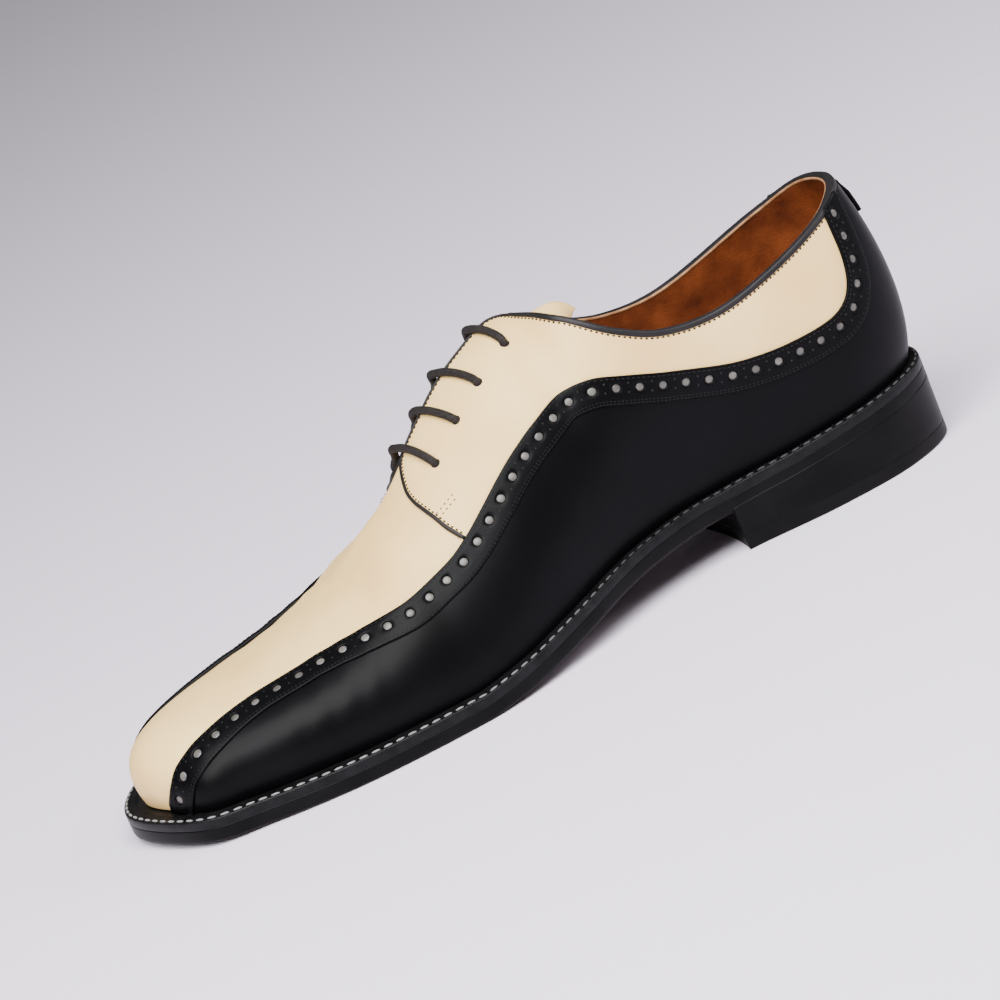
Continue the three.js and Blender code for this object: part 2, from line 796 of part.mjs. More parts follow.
// Tongue: under the facings, tucked below the vamp in front and standing past them behind.
function tongue() {
  const frontCrest = throatAlong * outsoleLength + tongueTuck;
  const backRib = 5.2;
  const ribs = spread(backRib, 8, 12).filter((rib) => crestPoint(rib).x < frontCrest);
  const halfSection = (rib, side, offset) => {
    const ring = side > 0 ? rib : ringRibs - rib;
    return spread(tongueFoot, 1, 5).map((climb) => shellPoint(ring, climb, offset));
  };
  const section = (rib, thickness) => {
    const tuck = THREE.MathUtils.smoothstep(crestPoint(rib).x, throatAlong * outsoleLength - 8, frontCrest - 4);
    const drop = mix(tongueDrop, clearance, tuck);
    const offset = -wallThickness - drop - thickness;
    const outerSide = halfSection(rib, 1, offset);
    const innerSide = halfSection(rib, -1, offset).reverse().slice(1);
    return [...outerSide, ...innerSide];
  };
  // Past the facings the tongue runs straight back and narrows to a round tip.
  const tip = (base, share) => base.map((p) => {
    const middle = base[(base.length - 1) / 2];
    const narrow = Math.sqrt(1 - (0.9 * share * share) ** 2);
    return new THREE.Vector3(
      p.x - tongueTipReach * share,
      middle.y + (p.y - middle.y) * narrow,
      middle.z + (p.z - middle.z) * narrow - tongueTipDrop * share,
    );
  });
  const grid = (thickness) => {
    const sections = ribs.map((rib) => section(rib, thickness));
    return [...[1, 0.92, 0.75, 0.5, 0.25].map((share) => tip(sections[0], share)), ...sections];
  };
  return piece('tongue', solidBetween(grid(0), grid(tongueThickness)), creamLeather);
}

// Heel tab: a folded strip over the back seam, just under the collar.
function heelTab() {
  const half = tabHalfWidth / outlinePoint(1).distanceTo(outlinePoint(0));
  const places = spread(-half, half, 4).map((place) => (place + ringRibs) % ringRibs);
  const grid = (offset) => places.map((ring) => {
    const top = climbWhere(ring, (p) => p.z > backHeight - tabBelowCollar);
    const bottom = climbWhere(ring, (p) => p.z > backHeight - tabBelowCollar - tabHeight);
    return spread(bottom, top, 3).map((climb) => shellPoint(ring, climb, offset));
  });
  const seat = clearance * 2 + wingThickness;
  return piece('heel_tab', solidBetween(grid(seat + tabThickness), grid(seat)), blackLeather);
}

// Lace bar: straight over the facings from eyelet to eyelet, its ends dipping through the holes.
function laceBar(index) {
  const over = quarterLift + laceDiameter / 2 + clearance;
  const side = (place) => {
    const slope = crestSlope(ribOf(place.ring));
    const hole = shellPoint(place.ring, place.climb, 0);
    const at = (share, offset) => {
      const p = shellPoint(place.ring, mix(place.climb, 1, share), offset);
      const ahead = (hole.x - p.x) * Math.min(share * 4, 1);
      return new THREE.Vector3(p.x + ahead, p.y, p.z + slope * ahead);
    };
    return [
      at(0, -wallThickness - 0.6),
      at(0, quarterLift * 0.5),
      at(0.07, over),
      at(0.3, over + 0.1),
      at(0.6, over + 0.1),
      at(1, over - laceSag),
    ];
  };
  const outer = side(eyeletPlace(index, 1));
  const inner = side(eyeletPlace(index, -1));
  const middle = outer.pop().lerp(inner.pop(), 0.5);
  const points = [...outer, middle, ...inner.reverse()];
  return piece('lace_bar_' + (index + 1), tube(points, laceDiameter, 8, 26), laceCotton);
}

const shoe = new THREE.Group();
shoe.add(
  outsole(),
  welt(),
  insole(),
  heelBlock(),
  heelLift(),
  upper(),
  wing('wing_outer', 1),
  wing('wing_inner', -1),
  tongue(),
  heelTab(),
  ...spread(0, eyeletCount - 1, eyeletCount - 1).map((index) => laceBar(index)),
);

// The origin is the middle of the shoe's box, on the floor.
const box = new THREE.Box3().setFromObject(shoe);
shoe.position.set(-(box.min.x + box.max.x) / 2, -(box.min.y + box.max.y) / 2, -box.min.z);

export default shoe;
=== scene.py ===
import math

import bmesh
import bpy
import numpy as np
from mathutils import Matrix, Vector


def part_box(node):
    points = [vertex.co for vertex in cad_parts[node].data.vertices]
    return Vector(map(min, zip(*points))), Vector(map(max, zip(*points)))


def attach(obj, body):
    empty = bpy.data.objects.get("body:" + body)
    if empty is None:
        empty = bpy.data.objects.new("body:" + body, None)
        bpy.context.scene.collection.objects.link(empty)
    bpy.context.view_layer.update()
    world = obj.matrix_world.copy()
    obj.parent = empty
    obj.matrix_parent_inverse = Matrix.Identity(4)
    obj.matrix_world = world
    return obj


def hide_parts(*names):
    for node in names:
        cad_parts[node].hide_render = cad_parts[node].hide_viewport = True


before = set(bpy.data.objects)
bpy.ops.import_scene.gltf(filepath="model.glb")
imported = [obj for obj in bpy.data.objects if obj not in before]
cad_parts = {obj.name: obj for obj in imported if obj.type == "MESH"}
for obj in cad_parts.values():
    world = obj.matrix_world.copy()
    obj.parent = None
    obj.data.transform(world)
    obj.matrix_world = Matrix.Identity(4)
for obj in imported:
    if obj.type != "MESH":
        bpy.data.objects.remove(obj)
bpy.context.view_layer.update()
for name in ("Cube", "Light", "Camera"):
    if name in bpy.data.objects:
        bpy.data.objects.remove(bpy.data.objects[name])

# Outsole: one thickness of bark-tanned leather cut to the foot, waxed black round the edge and
# stained a very dark brown underneath. It is sewn to the welt and carries the heel. Sizes are in
# millimetres from the heel back, as the shoe was drawn.
sole_length = 305.0
ball_width = 108.0
outsole_thickness = 5.0
heel_length = 88.0
heel_back_height = 20.0
heel_breast_height = 14.0
toe_spring = 2.0
tread_start = 0.64
tread_end = 0.76
sole_outline = np.array([
    [0.0, 0.0], [0.022, 0.18], [0.09, 0.29], [0.185, 0.303], [0.295, 0.262], [0.4, 0.315],
    [0.5, 0.43], [0.6, 0.507], [0.7, 0.518], [0.8, 0.488], [0.89, 0.412], [0.958, 0.318],
    [1.0, -0.01], [0.96, -0.305], [0.895, -0.405], [0.81, -0.465], [0.71, -0.478], [0.6, -0.41],
    [0.49, -0.29], [0.385, -0.235], [0.285, -0.262], [0.185, -0.3], [0.09, -0.29], [0.022, -0.18],
])
arch = np.array([
    [0.28, 1.0], [0.34, 0.98], [0.4, 0.88], [0.46, 0.7], [0.52, 0.44], [0.58, 0.18], [0.64, 0.0],
])
ring_ribs = 24
toe_rib = 12
spine_share = 0.86


def ease(start, end, rise, fall, w):
    """A smooth curve between two values, from their slopes."""
    w2 = w * w
    w3 = w2 * w
    return ((2 * w3 - 3 * w2 + 1) * start + (w3 - 2 * w2 + w) * rise
            + (3 * w2 - 2 * w3) * end + (w3 - w2) * fall)


def read_table(table, x):
    """The second column of a table, read smoothly at x in its first column."""
    key, value = table[:, 0], table[:, 1]
    x = np.clip(x, key[0], key[-1])
    i = np.clip(np.searchsorted(key, x, side="right") - 1, 0, len(key) - 2)
    before = np.maximum(i - 1, 0)
    after = np.minimum(i + 2, len(key) - 1)
    span = key[i + 1] - key[i]
    rise = (value[i + 1] - value[before]) / (key[i + 1] - key[before]) * span
    fall = (value[after] - value[i]) / (key[after] - key[i]) * span
    return ease(value[i], value[i + 1], rise, fall, (x - key[i]) / span)


def round_outline(column, ring):
    """One column of the sole's outline, read smoothly round the ring."""
    whole = np.floor(ring).astype(int)

    def row(k):
        return sole_outline[(whole + k) % ring_ribs, column]

    return ease(row(0), row(1), (row(1) - row(-1)) / 2, (row(2) - row(0)) / 2, ring - whole)


def sole_edge(ring, inset=0.0):
    """x and y of the sole's outline at a rib of the ring, moved inwards."""
    ring = np.asarray(ring, float)
    step = 0.01
    x = round_outline(0, ring) * sole_length
    y = round_outline(1, ring) * ball_width
    dx = (round_outline(0, ring + step) - round_outline(0, ring - step)) * sole_length
    dy = (round_outline(1, ring + step) - round_outline(1, ring - step)) * ball_width
    length = np.hypot(dx, dy)
    return x + dy / length * inset, y - dx / length * inset


def underside(x):
    """Height of the outsole's lower face over the floor."""
    along = x / sole_length
    heel = heel_back_height + (heel_breast_height - heel_back_height) * np.maximum(x, 0) / heel_length
    waist = read_table(arch, along) * heel_breast_height
    past = np.maximum(along - tread_end, 0) / (1 - tread_end)
    toe = toe_spring * np.minimum(past, 1.1) ** 2
    return np.where(x <= heel_length, heel, np.where(along < tread_start, waist, toe))


def outsole_top(x):
    return underside(x) + outsole_thickness


def even_ring(start, end, count, inset=2.0):
    """Ribs of the ring that stand evenly along the sole's edge."""
    ring = np.linspace(start, end, 2401)
    x, y = sole_edge(ring, inset)
    run = np.concatenate([[0], np.cumsum(np.hypot(np.diff(x), np.diff(y)))])
    return np.interp(np.linspace(0, run[-1], count), run, ring)


def toward_spine(ring, inset, share):
    """A point under the foot, between the sole's edge and a line down its middle."""
    x, y = sole_edge(ring, inset)
    near, far = sole_edge(ring), sole_edge(ring_ribs - np.asarray(ring))
    spine_x = sole_length / 2 + ((near[0] + far[0]) / 2 - sole_length / 2) * spine_share
    spine_y = (near[1] + far[1]) / 2
    return x + (spine_x - x) * share, y + (spine_y - y) * share


sole_low, sole_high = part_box("outsole")
edge_x, edge_y = sole_edge(np.linspace(0, ring_ribs, 2401))
heel_back_x = sole_low.x * 1000 - edge_x.min()
middle_y = (sole_low.y + sole_high.y) * 500 - (edge_y.min() + edge_y.max()) / 2


def in_frame(points):
    """Points of the drawn shoe, in millimetres, as metres in the row frame."""
    points = np.asarray(points, float)
    return (points + np.array([heel_back_x, middle_y, 0.0])) / 1000


def sheet(columns, rows, shape, wrap=False):
    """A grid of faces whose vertices shape(i, j) puts in place. wrap welds columns that meet."""
    bm = bmesh.new()
    uv = bm.loops.layers.uv.new("run")
    bmesh.ops.create_grid(bm, x_segments=columns, y_segments=rows, size=0.5)
    flat = np.array([vert.co[:2] for vert in bm.verts])
    i = np.rint((flat[:, 0] + 0.5) * columns).astype(int)
    j = np.rint((flat[:, 1] + 0.5) * rows).astype(int)
    points, run, side = shape(i, j)
    for vert, co in zip(bm.verts, in_frame(points)):
        vert.co = co
    for face in bm.faces:
        for loop in face.loops:
            k = loop.vert.index
            loop[uv].uv = (run[k], side[k])
    if wrap:
        bmesh.ops.remove_doubles(bm, verts=bm.verts, dist=2e-6)
        bmesh.ops.dissolve_degenerate(bm, dist=1e-7, edges=bm.edges)
    return bm


def finish_mesh(bm, name, *materials):
    """Puts the bmesh in the scene as a smooth piece that rides on the shoe."""
    mesh = bpy.data.meshes.new(name)
    bm.to_mesh(mesh)
    bm.free()
    mesh.shade_smooth()
    for material in materials:
        mesh.materials.append(material)
    piece = bpy.data.objects.new(name, mesh)
    bpy.context.scene.collection.objects.link(piece)
    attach(piece, "root")
    return piece


def face_out(bm):
    """Turns a closed piece's faces outwards."""
    bmesh.ops.recalc_face_normals(bm, faces=bm.faces)
    if bm.calc_volume(signed=True) < 0:
        bmesh.ops.reverse_faces(bm, faces=bm.faces)


def new_material(name, colour, roughness, coat=0.0, coat_roughness=0.3, specular=0.5):
    """A leather, thread or rubber finish."""
    material = bpy.data.materials.new(name)
    material.use_nodes = True
    shader = material.node_tree.nodes["Principled BSDF"]
    shader.inputs["Base Color"].default_value = (*colour, 1)
    shader.inputs["Roughness"].default_value = roughness
    shader.inputs["Coat Weight"].default_value = coat
    shader.inputs["Coat Roughness"].default_value = coat_roughness
    shader.inputs["Specular IOR Level"].default_value = specular
    return material


def grain(material, scale, strength, distance, detail=2.0, stretch=(1, 1, 1)):
    """Fine unevenness in Object coordinates, as bump on the shader."""
    nodes, links = material.node_tree.nodes, material.node_tree.links
    place = nodes.new("ShaderNodeTexCoord")
    turn = nodes.new("ShaderNodeMapping")
    turn.inputs["Scale"].default_value = stretch
    noise = nodes.new("ShaderNodeTexNoise")
    noise.inputs["Scale"].default_value = scale
    noise.inputs["Detail"].default_value = detail
    bump = nodes.new("ShaderNodeBump")
    bump.inputs["Strength"].default_value = strength
    bump.inputs["Distance"].default_value = distance
    links.new(place.outputs["Object"], turn.inputs["Vector"])
    links.new(turn.outputs["Vector"], noise.inputs["Vector"])
    links.new(noise.outputs["Fac"], bump.inputs["Height"])
    links.new(bump.outputs["Normal"], nodes["Principled BSDF"].inputs["Normal"])


def mottle(material, dark, light, scale, detail=3.0):
    """Slow change of colour from one tone to another in Object coordinates."""
    nodes, links = material.node_tree.nodes, material.node_tree.links
    place = nodes.new("ShaderNodeTexCoord")
    noise = nodes.new("ShaderNodeTexNoise")
    noise.inputs["Scale"].default_value = scale
    noise.inputs["Detail"].default_value = detail
    ramp = nodes.new("ShaderNodeValToRGB")
    ramp.color_ramp.elements[0].position = 0.32
    ramp.color_ramp.elements[1].position = 0.68
    ramp.color_ramp.elements[0].color = (*dark, 1)
    ramp.color_ramp.elements[1].color = (*light, 1)
    links.new(place.outputs["Object"], noise.inputs["Vector"])
    links.new(noise.outputs["Fac"], ramp.inputs["Fac"])
    links.new(ramp.outputs["Color"], nodes["Principled BSDF"].inputs["Base Color"])


edge_wax = new_material("edge_wax", (0.002, 0.002, 0.0022), 0.42, coat=0.04, specular=0.06)
grain(edge_wax, 900, 0.12, 0.0004, stretch=(1, 1, 3))
mottle(edge_wax, (0.0012, 0.0012, 0.0013), (0.003, 0.003, 0.0032), 60)
sole_bark = new_material("sole_bark", (0.035, 0.02, 0.013), 0.6, specular=0.2)
grain(sole_bark, 1400, 0.2, 0.0004)
mottle(sole_bark, (0.02, 0.012, 0.008), (0.05, 0.03, 0.02), 45)

# Each row: inset from the edge, height over the underside, share of the way to the middle.
outsole_section = [
    (6.0, 0.0, 1.0), (6.0, 0.0, 0.6), (6.0, 0.0, 0.3), (6.0, 0.0, 0.0), (2.2, 0.0, 0.0),
    (1.1, 0.05, 0.0), (0.45, 0.35, 0.0), (0.1, 0.95, 0.0), (0.0, 1.7, 0.0), (0.0, 3.4, 0.0),
    (0.0, 4.6, 0.0), (0.04, 4.95, 0.0), (0.4, 5.0, 0.0), (6.0, 5.0, 0.0), (6.0, 5.0, 0.5),
    (6.0, 5.0, 1.0),
]
outsole_ring = even_ring(0, ring_ribs, 361)


def outsole_shape(i, j):
    inset, lift, share = np.array(outsole_section)[j].T
    x, y = toward_spine(outsole_ring[i], inset, share)
    return np.stack([x, y, underside(x) + lift], 1), i * 2.2, j * 1.0


bm = sheet(len(outsole_ring) - 1, len(outsole_section) - 1, outsole_shape, wrap=True)
face_out(bm)
for face in bm.faces:
    face.material_index = 1 if face.normal.z < -0.8 else 0
outsole = finish_mesh(bm, "outsole_leather", edge_wax, sole_bark)
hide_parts("outsole")

# Heel: a stack of leather pieces under the seat, hollow at the breast, waxed black with the sole
# edge, and a rubber top lift glued under it that meets the floor. Both are trimmed together.
heel_lift_thickness = 5.0
breast_hollow = 2.5
heel_round_points = 160
heel_breast_points = 40

ribs_to_try = np.linspace(2, 6, 801)
breast_rib = np.interp(heel_length, sole_edge(ribs_to_try)[0], ribs_to_try)
breast_rib_inner = np.interp(heel_length, sole_edge(ring_ribs - ribs_to_try)[0], ribs_to_try)


def heel_loop(inset):
    """The heel's outline: round the back from the inner side, then home along the breast."""
    ring = even_ring(-breast_rib_inner, breast_rib, heel_round_points, 0.4)
    x, y = sole_edge(ring, inset)
    front = heel_length - inset * 0.6
    x = np.minimum(x, front)
    w = np.linspace(0, 1, heel_breast_points + 1)[1:]
    breast_x = front - breast_hollow * 4 * w * (1 - w)
    breast_y = y[-1] + (y[0] - y[-1]) * w
    return np.concatenate([x, breast_x]), np.concatenate([y, breast_y])


def heel_layer(name, section, *materials):
    """A solid of the heel. Each row of the section: inset, height, share of the stack, closing in."""
    loops = [heel_loop(row[0]) for row in section]

    def shape(i, j):
        x = np.array([loop[0] for loop in loops])[j, i]
        y = np.array([loop[1] for loop in loops])[j, i]
        _, height, stack, closing = np.array(section)[j].T
        x = x + (heel_length * 0.5 - x) * closing
        y = y * (1 - closing)
        z = height + (underside(x) - 0.05) * stack
        return np.stack([x, y, z], 1), i * 1.4, z

    bm = sheet(heel_round_points + heel_breast_points - 1, len(section) - 1, shape, wrap=True)
    face_out(bm)
    return finish_mesh(bm, name, *materials)


lift_top = heel_lift_thickness
heel_stack = heel_layer("heel_stack", [
    (1.5, lift_top, 0, 1.0), (1.5, lift_top, 0, 0.0), (0.6, lift_top, 0, 0),
    (0.4, lift_top + 0.04, 0, 0), (0.36, lift_top + 0.4, 0, 0), (0.28, 9.0, 0, 0),
    (0.12, -2.0, 1, 0), (0.02, -0.4, 1, 0), (-0.02, 0.8, 1, 0), (0.05, 1.5, 1, 0),
    (1.0, 1.6, 1, 0), (1.5, 1.6, 1, 1.0),
], edge_wax)
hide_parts("heel_block")

lift_rubber = new_material("lift_rubber", (0.0025, 0.0025, 0.0025), 0.5, coat=0.02, specular=0.08)
grain(lift_rubber, 2200, 0.25, 0.0003)
mottle(lift_rubber, (0.0015, 0.0015, 0.0015), (0.004, 0.0038, 0.0036), 80)
heel_lift = heel_layer("heel_lift_rubber", [
    (1.6, 0, 0, 1.0), (1.6, 0, 0, 0.0), (0.9, 0.05, 0, 0), (0.5, 0.4, 0, 0), (0.4, 1.2, 0, 0),
    (0.38, 4.0, 0, 0), (0.38, lift_top - 0.15, 0, 0), (0.45, lift_top - 0.02, 0, 0),
    (1.5, lift_top - 0.02, 0, 0), (1.5, lift_top - 0.02, 0, 1.0),
], lift_rubber)
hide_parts("heel_lift")

# Welt: a strip of leather sewn round the foot of the upper and showing past it all the way. Its
# top is marked with a hot wheel between the stitches and the upper, and its edge is waxed black.
welt_thickness = 3.2
welt_show_toe = 7.5
welt_show_heel = 5.0
wheel_pitch = 1.55
wheel_depth = 0.55
welt_gap = 0.3


def rib_of(ring):
    """The rib from heel back to toe tip, the same number on both sides of the shoe."""
    return np.abs((np.asarray(ring, float) + toe_rib) % ring_ribs - toe_rib)


def smooth(share):
    """A share from 0 to 1 that starts and ends gently."""
    share = np.clip(share, 0, 1)
    return share * share * (3 - 2 * share)


def welt_show(ring):
    """How far the welt shows past the upper's foot, narrower round the heel."""
    return welt_show_heel + (welt_show_toe - welt_show_heel) * smooth((rib_of(ring) - 3) / 6)


def welt_top(x):
    return outsole_top(x) + welt_gap + welt_thickness


# Each row: inset, drop under the welt's top, how deep the wheel bites, share of the show.
welt_section = np.array([
    (0.8, 3.5, 0, 0), (0.06, 3.47, 0, 0), (0.0, 3.3, 0, 0), (0.0, 2.0, 0, 0), (0.04, 0.9, 0, 0),
    (0.18, 0.4, 0.2, 0), (0.45, 0.14, 0.45, 0), (0.8, 0.18, 0.35, 0), (1.15, 0.3, 0.2, 0),
    (1.5, 0.22, 0.35, 0), (1.95, 0.05, 0.85, 0), (2.7, 0.0, 1.0, 0), (3.5, 0.0, 1.0, 0),
    (4.2, 0.05, 0.9, 0), (4.9, 0.14, 0.3, 0), (0.0, 0.15, 0, 1.0), (2.5, 0.15, 0, 1.0),
    (2.5, 3.5, 0, 1.0), (0.8, 3.5, 0, 0),
])
welt_run = np.hypot(*np.diff(np.array(sole_edge(even_ring(0, ring_ribs, 2401))), axis=1)).sum()
wheel_marks = int(round(welt_run / wheel_pitch))
welt_columns = wheel_marks * 4
welt_ring = even_ring(0, ring_ribs, welt_columns + 1)


def welt_shape(i, j):
    inset, drop, bite, share = welt_section[j].T
    ring = welt_ring[i]
    show = welt_show(ring)
    inset = np.where(share > 0, inset + show, np.minimum(inset, show - 0.2))
    x, y = sole_edge(ring, inset)
    wheel = 0.5 - 0.5 * np.cos(i / 4 * 2 * np.pi)
    z = welt_top(x) - drop - bite * wheel_depth * wheel
    return np.stack([x, y, z], 1), i * wheel_pitch / 4, inset


bm = sheet(welt_columns, len(welt_section) - 1, welt_shape, wrap=True)
face_out(bm)
welt_leather = new_material("welt_leather", (0.003, 0.003, 0.0033), 0.45, coat=0.05, specular=0.1)
grain(welt_leather, 1600, 0.3, 0.0005)
mottle(welt_leather, (0.002, 0.002, 0.0023), (0.006, 0.006, 0.0066), 170)
welt = finish_mesh(bm, "welt_strip", welt_leather)
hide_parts("welt")

# Welt stitches: waxed grey thread that joins welt and outsole, one long stitch between each pair
# of holes, lying in a shallow groove near the welt's edge.
welt_stitch_pitch = 4.3
welt_stitch_size = (3.1, 0.95, 0.75)
stitch_inset = 1.1
stitch_sink = 0.1


def sew(bm, points, along, normals, length, width, height):
    """Adds one rounded stitch at each point, lying along its direction."""
    for point, direction, normal in zip(in_frame(points), along, normals):
        forward = Vector(direction).normalized()
        up = Vector(normal).normalized()
        side = up.cross(forward).normalized()
        turn = Matrix((forward, side, up)).transposed().to_4x4()
        size = Matrix.Diagonal((length / 2000, width / 2000, height / 2000, 1))
        place = Matrix.Translation(Vector(point)) @ turn @ size
        bmesh.ops.create_icosphere(bm, subdivisions=2 if length > 3 else 1, radius=1, matrix=place)


welt_stitch_count = int(round(welt_run / welt_stitch_pitch))
stitch_ring = even_ring(0, ring_ribs, welt_stitch_count + 1)[:-1]
stitch_x, stitch_y = sole_edge(stitch_ring, stitch_inset)
ahead_x, ahead_y = sole_edge(stitch_ring + 0.02, stitch_inset)
stitch_points = np.stack([stitch_x, stitch_y, welt_top(stitch_x) - stitch_sink], 1)
ahead_points = np.stack([ahead_x, ahead_y, welt_top(ahead_x) - stitch_sink], 1)
bm = bmesh.new()
upright = np.tile([0, 0, 1.0], (welt_stitch_count, 1))
sew(bm, stitch_points, ahead_points - stitch_points, upright, *welt_stitch_size)
welt_thread = new_material("welt_thread", (0.11, 0.11, 0.112), 0.7, specular=0.2)
grain(welt_thread, 2500, 0.4, 0.0003)
# The thread runs dark at the heel, darkest at the waist and grey at the forepart: partly wax that has
# blackened it, partly painted shade under the arch.
nodes, links = welt_thread.node_tree.nodes, welt_thread.node_tree.links
place = nodes.new("ShaderNodeTexCoord")
parts = nodes.new("ShaderNodeSeparateXYZ")
along_sole = nodes.new("ShaderNodeMapRange")
along_sole.inputs["From Min"].default_value = -sole_length / 2000
along_sole.inputs["From Max"].default_value = sole_length / 2000
wax_and_waist_shade = nodes.new("ShaderNodeValToRGB")
wax_and_waist_shade.color_ramp.elements[0].color = (0.035, 0.035, 0.037, 1)
wax_and_waist_shade.color_ramp.elements[0].position = 0.2
wax_and_waist_shade.color_ramp.elements[1].color = (0.19, 0.188, 0.188, 1)
wax_and_waist_shade.color_ramp.elements[1].position = 0.72
# Darkest stop at the waist: wax-blackened thread with painted shade under the arch.
dark = wax_and_waist_shade.color_ramp.elements.new(0.42)
dark.color = (0.016, 0.016, 0.017, 1)
links.new(place.outputs["Object"], parts.inputs["Vector"])
links.new(parts.outputs["X"], along_sole.inputs["Value"])
links.new(along_sole.outputs["Result"], wax_and_waist_shade.inputs["Fac"])
links.new(wax_and_waist_shade.outputs["Color"], nodes["Principled BSDF"].inputs["Base Color"])
welt_stitches = finish_mesh(bm, "welt_stitches", welt_thread)

# Insole: leather board inside the upper's foot, covered by a tan leather sock that is glued on.
# Its edge is eased where it meets the lining.
sock_section = np.array([
    (0.0, 6.0, 1.0), (0.0, 6.0, 0.66), (0.0, 6.0, 0.33), (1.2, 6.0, 0.0), (0.35, 5.9, 0.0),
    (0.05, 5.5, 0.0), (0.05, 4.1, 0.0), (3.0, 4.1, 0.0), (3.0, 4.1, 1.0),
])
sock_margin = 2.2
sock_ring = even_ring(0, ring_ribs, 241, 8.0)


def sock_shape(i, j):
    inset, lift, share = sock_section[j].T
    ring = sock_ring[i]
    x, y = toward_spine(ring, welt_show(ring) + sock_margin + inset, share)
    return np.stack([x, y, outsole_top(x) + welt_gap + lift], 1), i * 3.0, j * 1.0


bm = sheet(len(sock_ring) - 1, len(sock_section) - 1, sock_shape, wrap=True)
face_out(bm)
sock_leather = new_material("sock_leather", (0.08, 0.017, 0.004), 0.55, specular=0.2)
grain(sock_leather, 1500, 0.25, 0.0004)
mottle(sock_leather, (0.055, 0.011, 0.0026), (0.11, 0.024, 0.006), 40)
sock = finish_mesh(bm, "sock_lining", sock_leather)
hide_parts("insole")

# Lining: tan leather with a soft nap inside the upper. It follows the last that the shoe was made
# on, so the last's own form stands here: ribs that climb from the foot of the upper to the crest.
instep_height = 101.0
back_height = 94.0
wall_thickness = 1.8
throat_along = 0.59
crease_half = 0.11
# How deep the inner facing has sunk, rib by rib.
facing_settle = np.array([[4.2, 0.0], [4.9, 3.5], [6.8, 3.5], [7.3, 4.6], [8.2, 0.0]])
# Each crease: its rib at the foot, its rib at the crest, its depth.
ball_creases = ((8.75, 8.15, 0.35), (8.4, 7.95, 0.3), (9.15, 8.4, 0.3), (9.5, 8.75, 0.2))
slot_half_outer = 0.8
slot_half_inner = 6.0
corner_blend = 0.2
lining_slot_rib = 6.95
lining_offset = 0.5 - wall_thickness
throat_front_rib = 7.24
# Each row is one rib, from the heel back to the toe tip: crest, bulge, rise, reach.
last_ribs = np.array([
    [0.12, 0.14, 0.3, 0.25], [0.125, 0.135, 0.3, 0.25], [0.14, 0.1, 0.32, 0.22],
    [0.19, 0.085, 0.34, 0.21], [0.285, 0.11, 0.34, 0.24], [0.385, 0.09, 0.34, 0.31],
    [0.475, 0.035, 0.35, 0.31], [0.565, 0.01, 0.36, 0.29], [0.67, 0.023, 0.42, 0.35],
    [0.775, 0.037, 0.5, 0.38], [0.86, 0.04, 0.52, 0.31], [0.905, 0.035, 0.52, 0.22],
    [0.92, 0.03, 0.52, 0.15],
])
crest_height = np.array([
    [0.1, 1.3], [0.28, 1.28], [0.36, 1.1], [0.4, 0.978], [0.44, 0.955], [0.49, 0.895],
    [0.53, 0.812], [0.57, 0.725], [0.61, 0.635], [0.65, 0.568], [0.69, 0.488], [0.73, 0.43],
    [0.77, 0.392], [0.82, 0.367], [0.87, 0.35], [0.92, 0.33],
])
crest_side = np.array([
    [0.1, 0.0], [0.28, -0.02], [0.36, -0.06], [0.4, -0.08], [0.44, -0.08], [0.49, -0.065],
    [0.53, -0.045], [0.57, -0.025], [0.61, -0.01], [0.65, 0.0], [0.69, 0.0], [0.73, 0.0],
    [0.77, 0.0], [0.82, 0.0], [0.87, 0.0], [0.92, 0.0],
])
# Columns: share of the sole's length, height on the outer side, height on the inner side.
collar_line = np.array([
    [0.0, 1.0, 1.0], [0.023, 1.0, 1.0], [0.07, 0.94, 0.94], [0.16, 0.855, 0.855],
    [0.225, 0.82, 0.82], [0.285, 0.845, 0.84], [0.33, 0.92, 0.895], [0.37, 1.02, 0.965],
    [0.41, 1.09, 1.03],
])


def at_rib(column, rib):
    """One column of the last's table, read smoothly along the ribs."""
    whole = np.clip(np.floor(rib), 0, toe_rib - 1).astype(int)

    def row(k):
        return last_ribs[np.clip(whole + k, 0, toe_rib), column]

    return ease(row(0), row(1), (row(1) - row(-1)) / 2, (row(2) - row(0)) / 2, rib - whole)


def crest(rib):
    """The ridge line over the middle of the last."""
    along = at_rib(0, rib)
    return np.stack([
        along * sole_length,
        read_table(crest_side, along) * ball_width,
        read_table(crest_height, along) * instep_height,
    ], -1)


def crest_slope(rib):
    along = at_rib(0, rib)
    step = 0.004
    rise = read_table(crest_height, along) - read_table(crest_height, along - step)
    return rise * instep_height / (step * sole_length)


def last_point(ring, climb):
    """The last's surface: climb is 0 at the foot of the upper and 1 at the crest."""
    ring, climb = np.broadcast_arrays(np.asarray(ring, float), np.asarray(climb, float))
    rib = rib_of(ring)
    x, y = sole_edge(ring, welt_show(ring))
    foot = np.stack([x, y, welt_top(x) + welt_gap], -1)
    top = crest(rib)
    inwards = top - foot
    inwards[..., 2] = 0
    inwards /= np.linalg.norm(inwards, axis=-1, keepdims=True)
    bulge = at_rib(1, rib) * ball_width
    reach = at_rib(3, rib) * ball_width
    flank = foot - inwards * bulge[..., None]
    flank[..., 2] = foot[..., 2] + (top[..., 2] - foot[..., 2]) * at_rib(2, rib)
    brow = top - inwards * reach[..., None]
    brow[..., 2] = top[..., 2] - crest_slope(rib) * inwards[..., 0] * reach
    c = climb[..., None]
    back = 1 - c
    return foot * back ** 3 + flank * 3 * back * back * c + brow * 3 * back * c * c + top * c ** 3


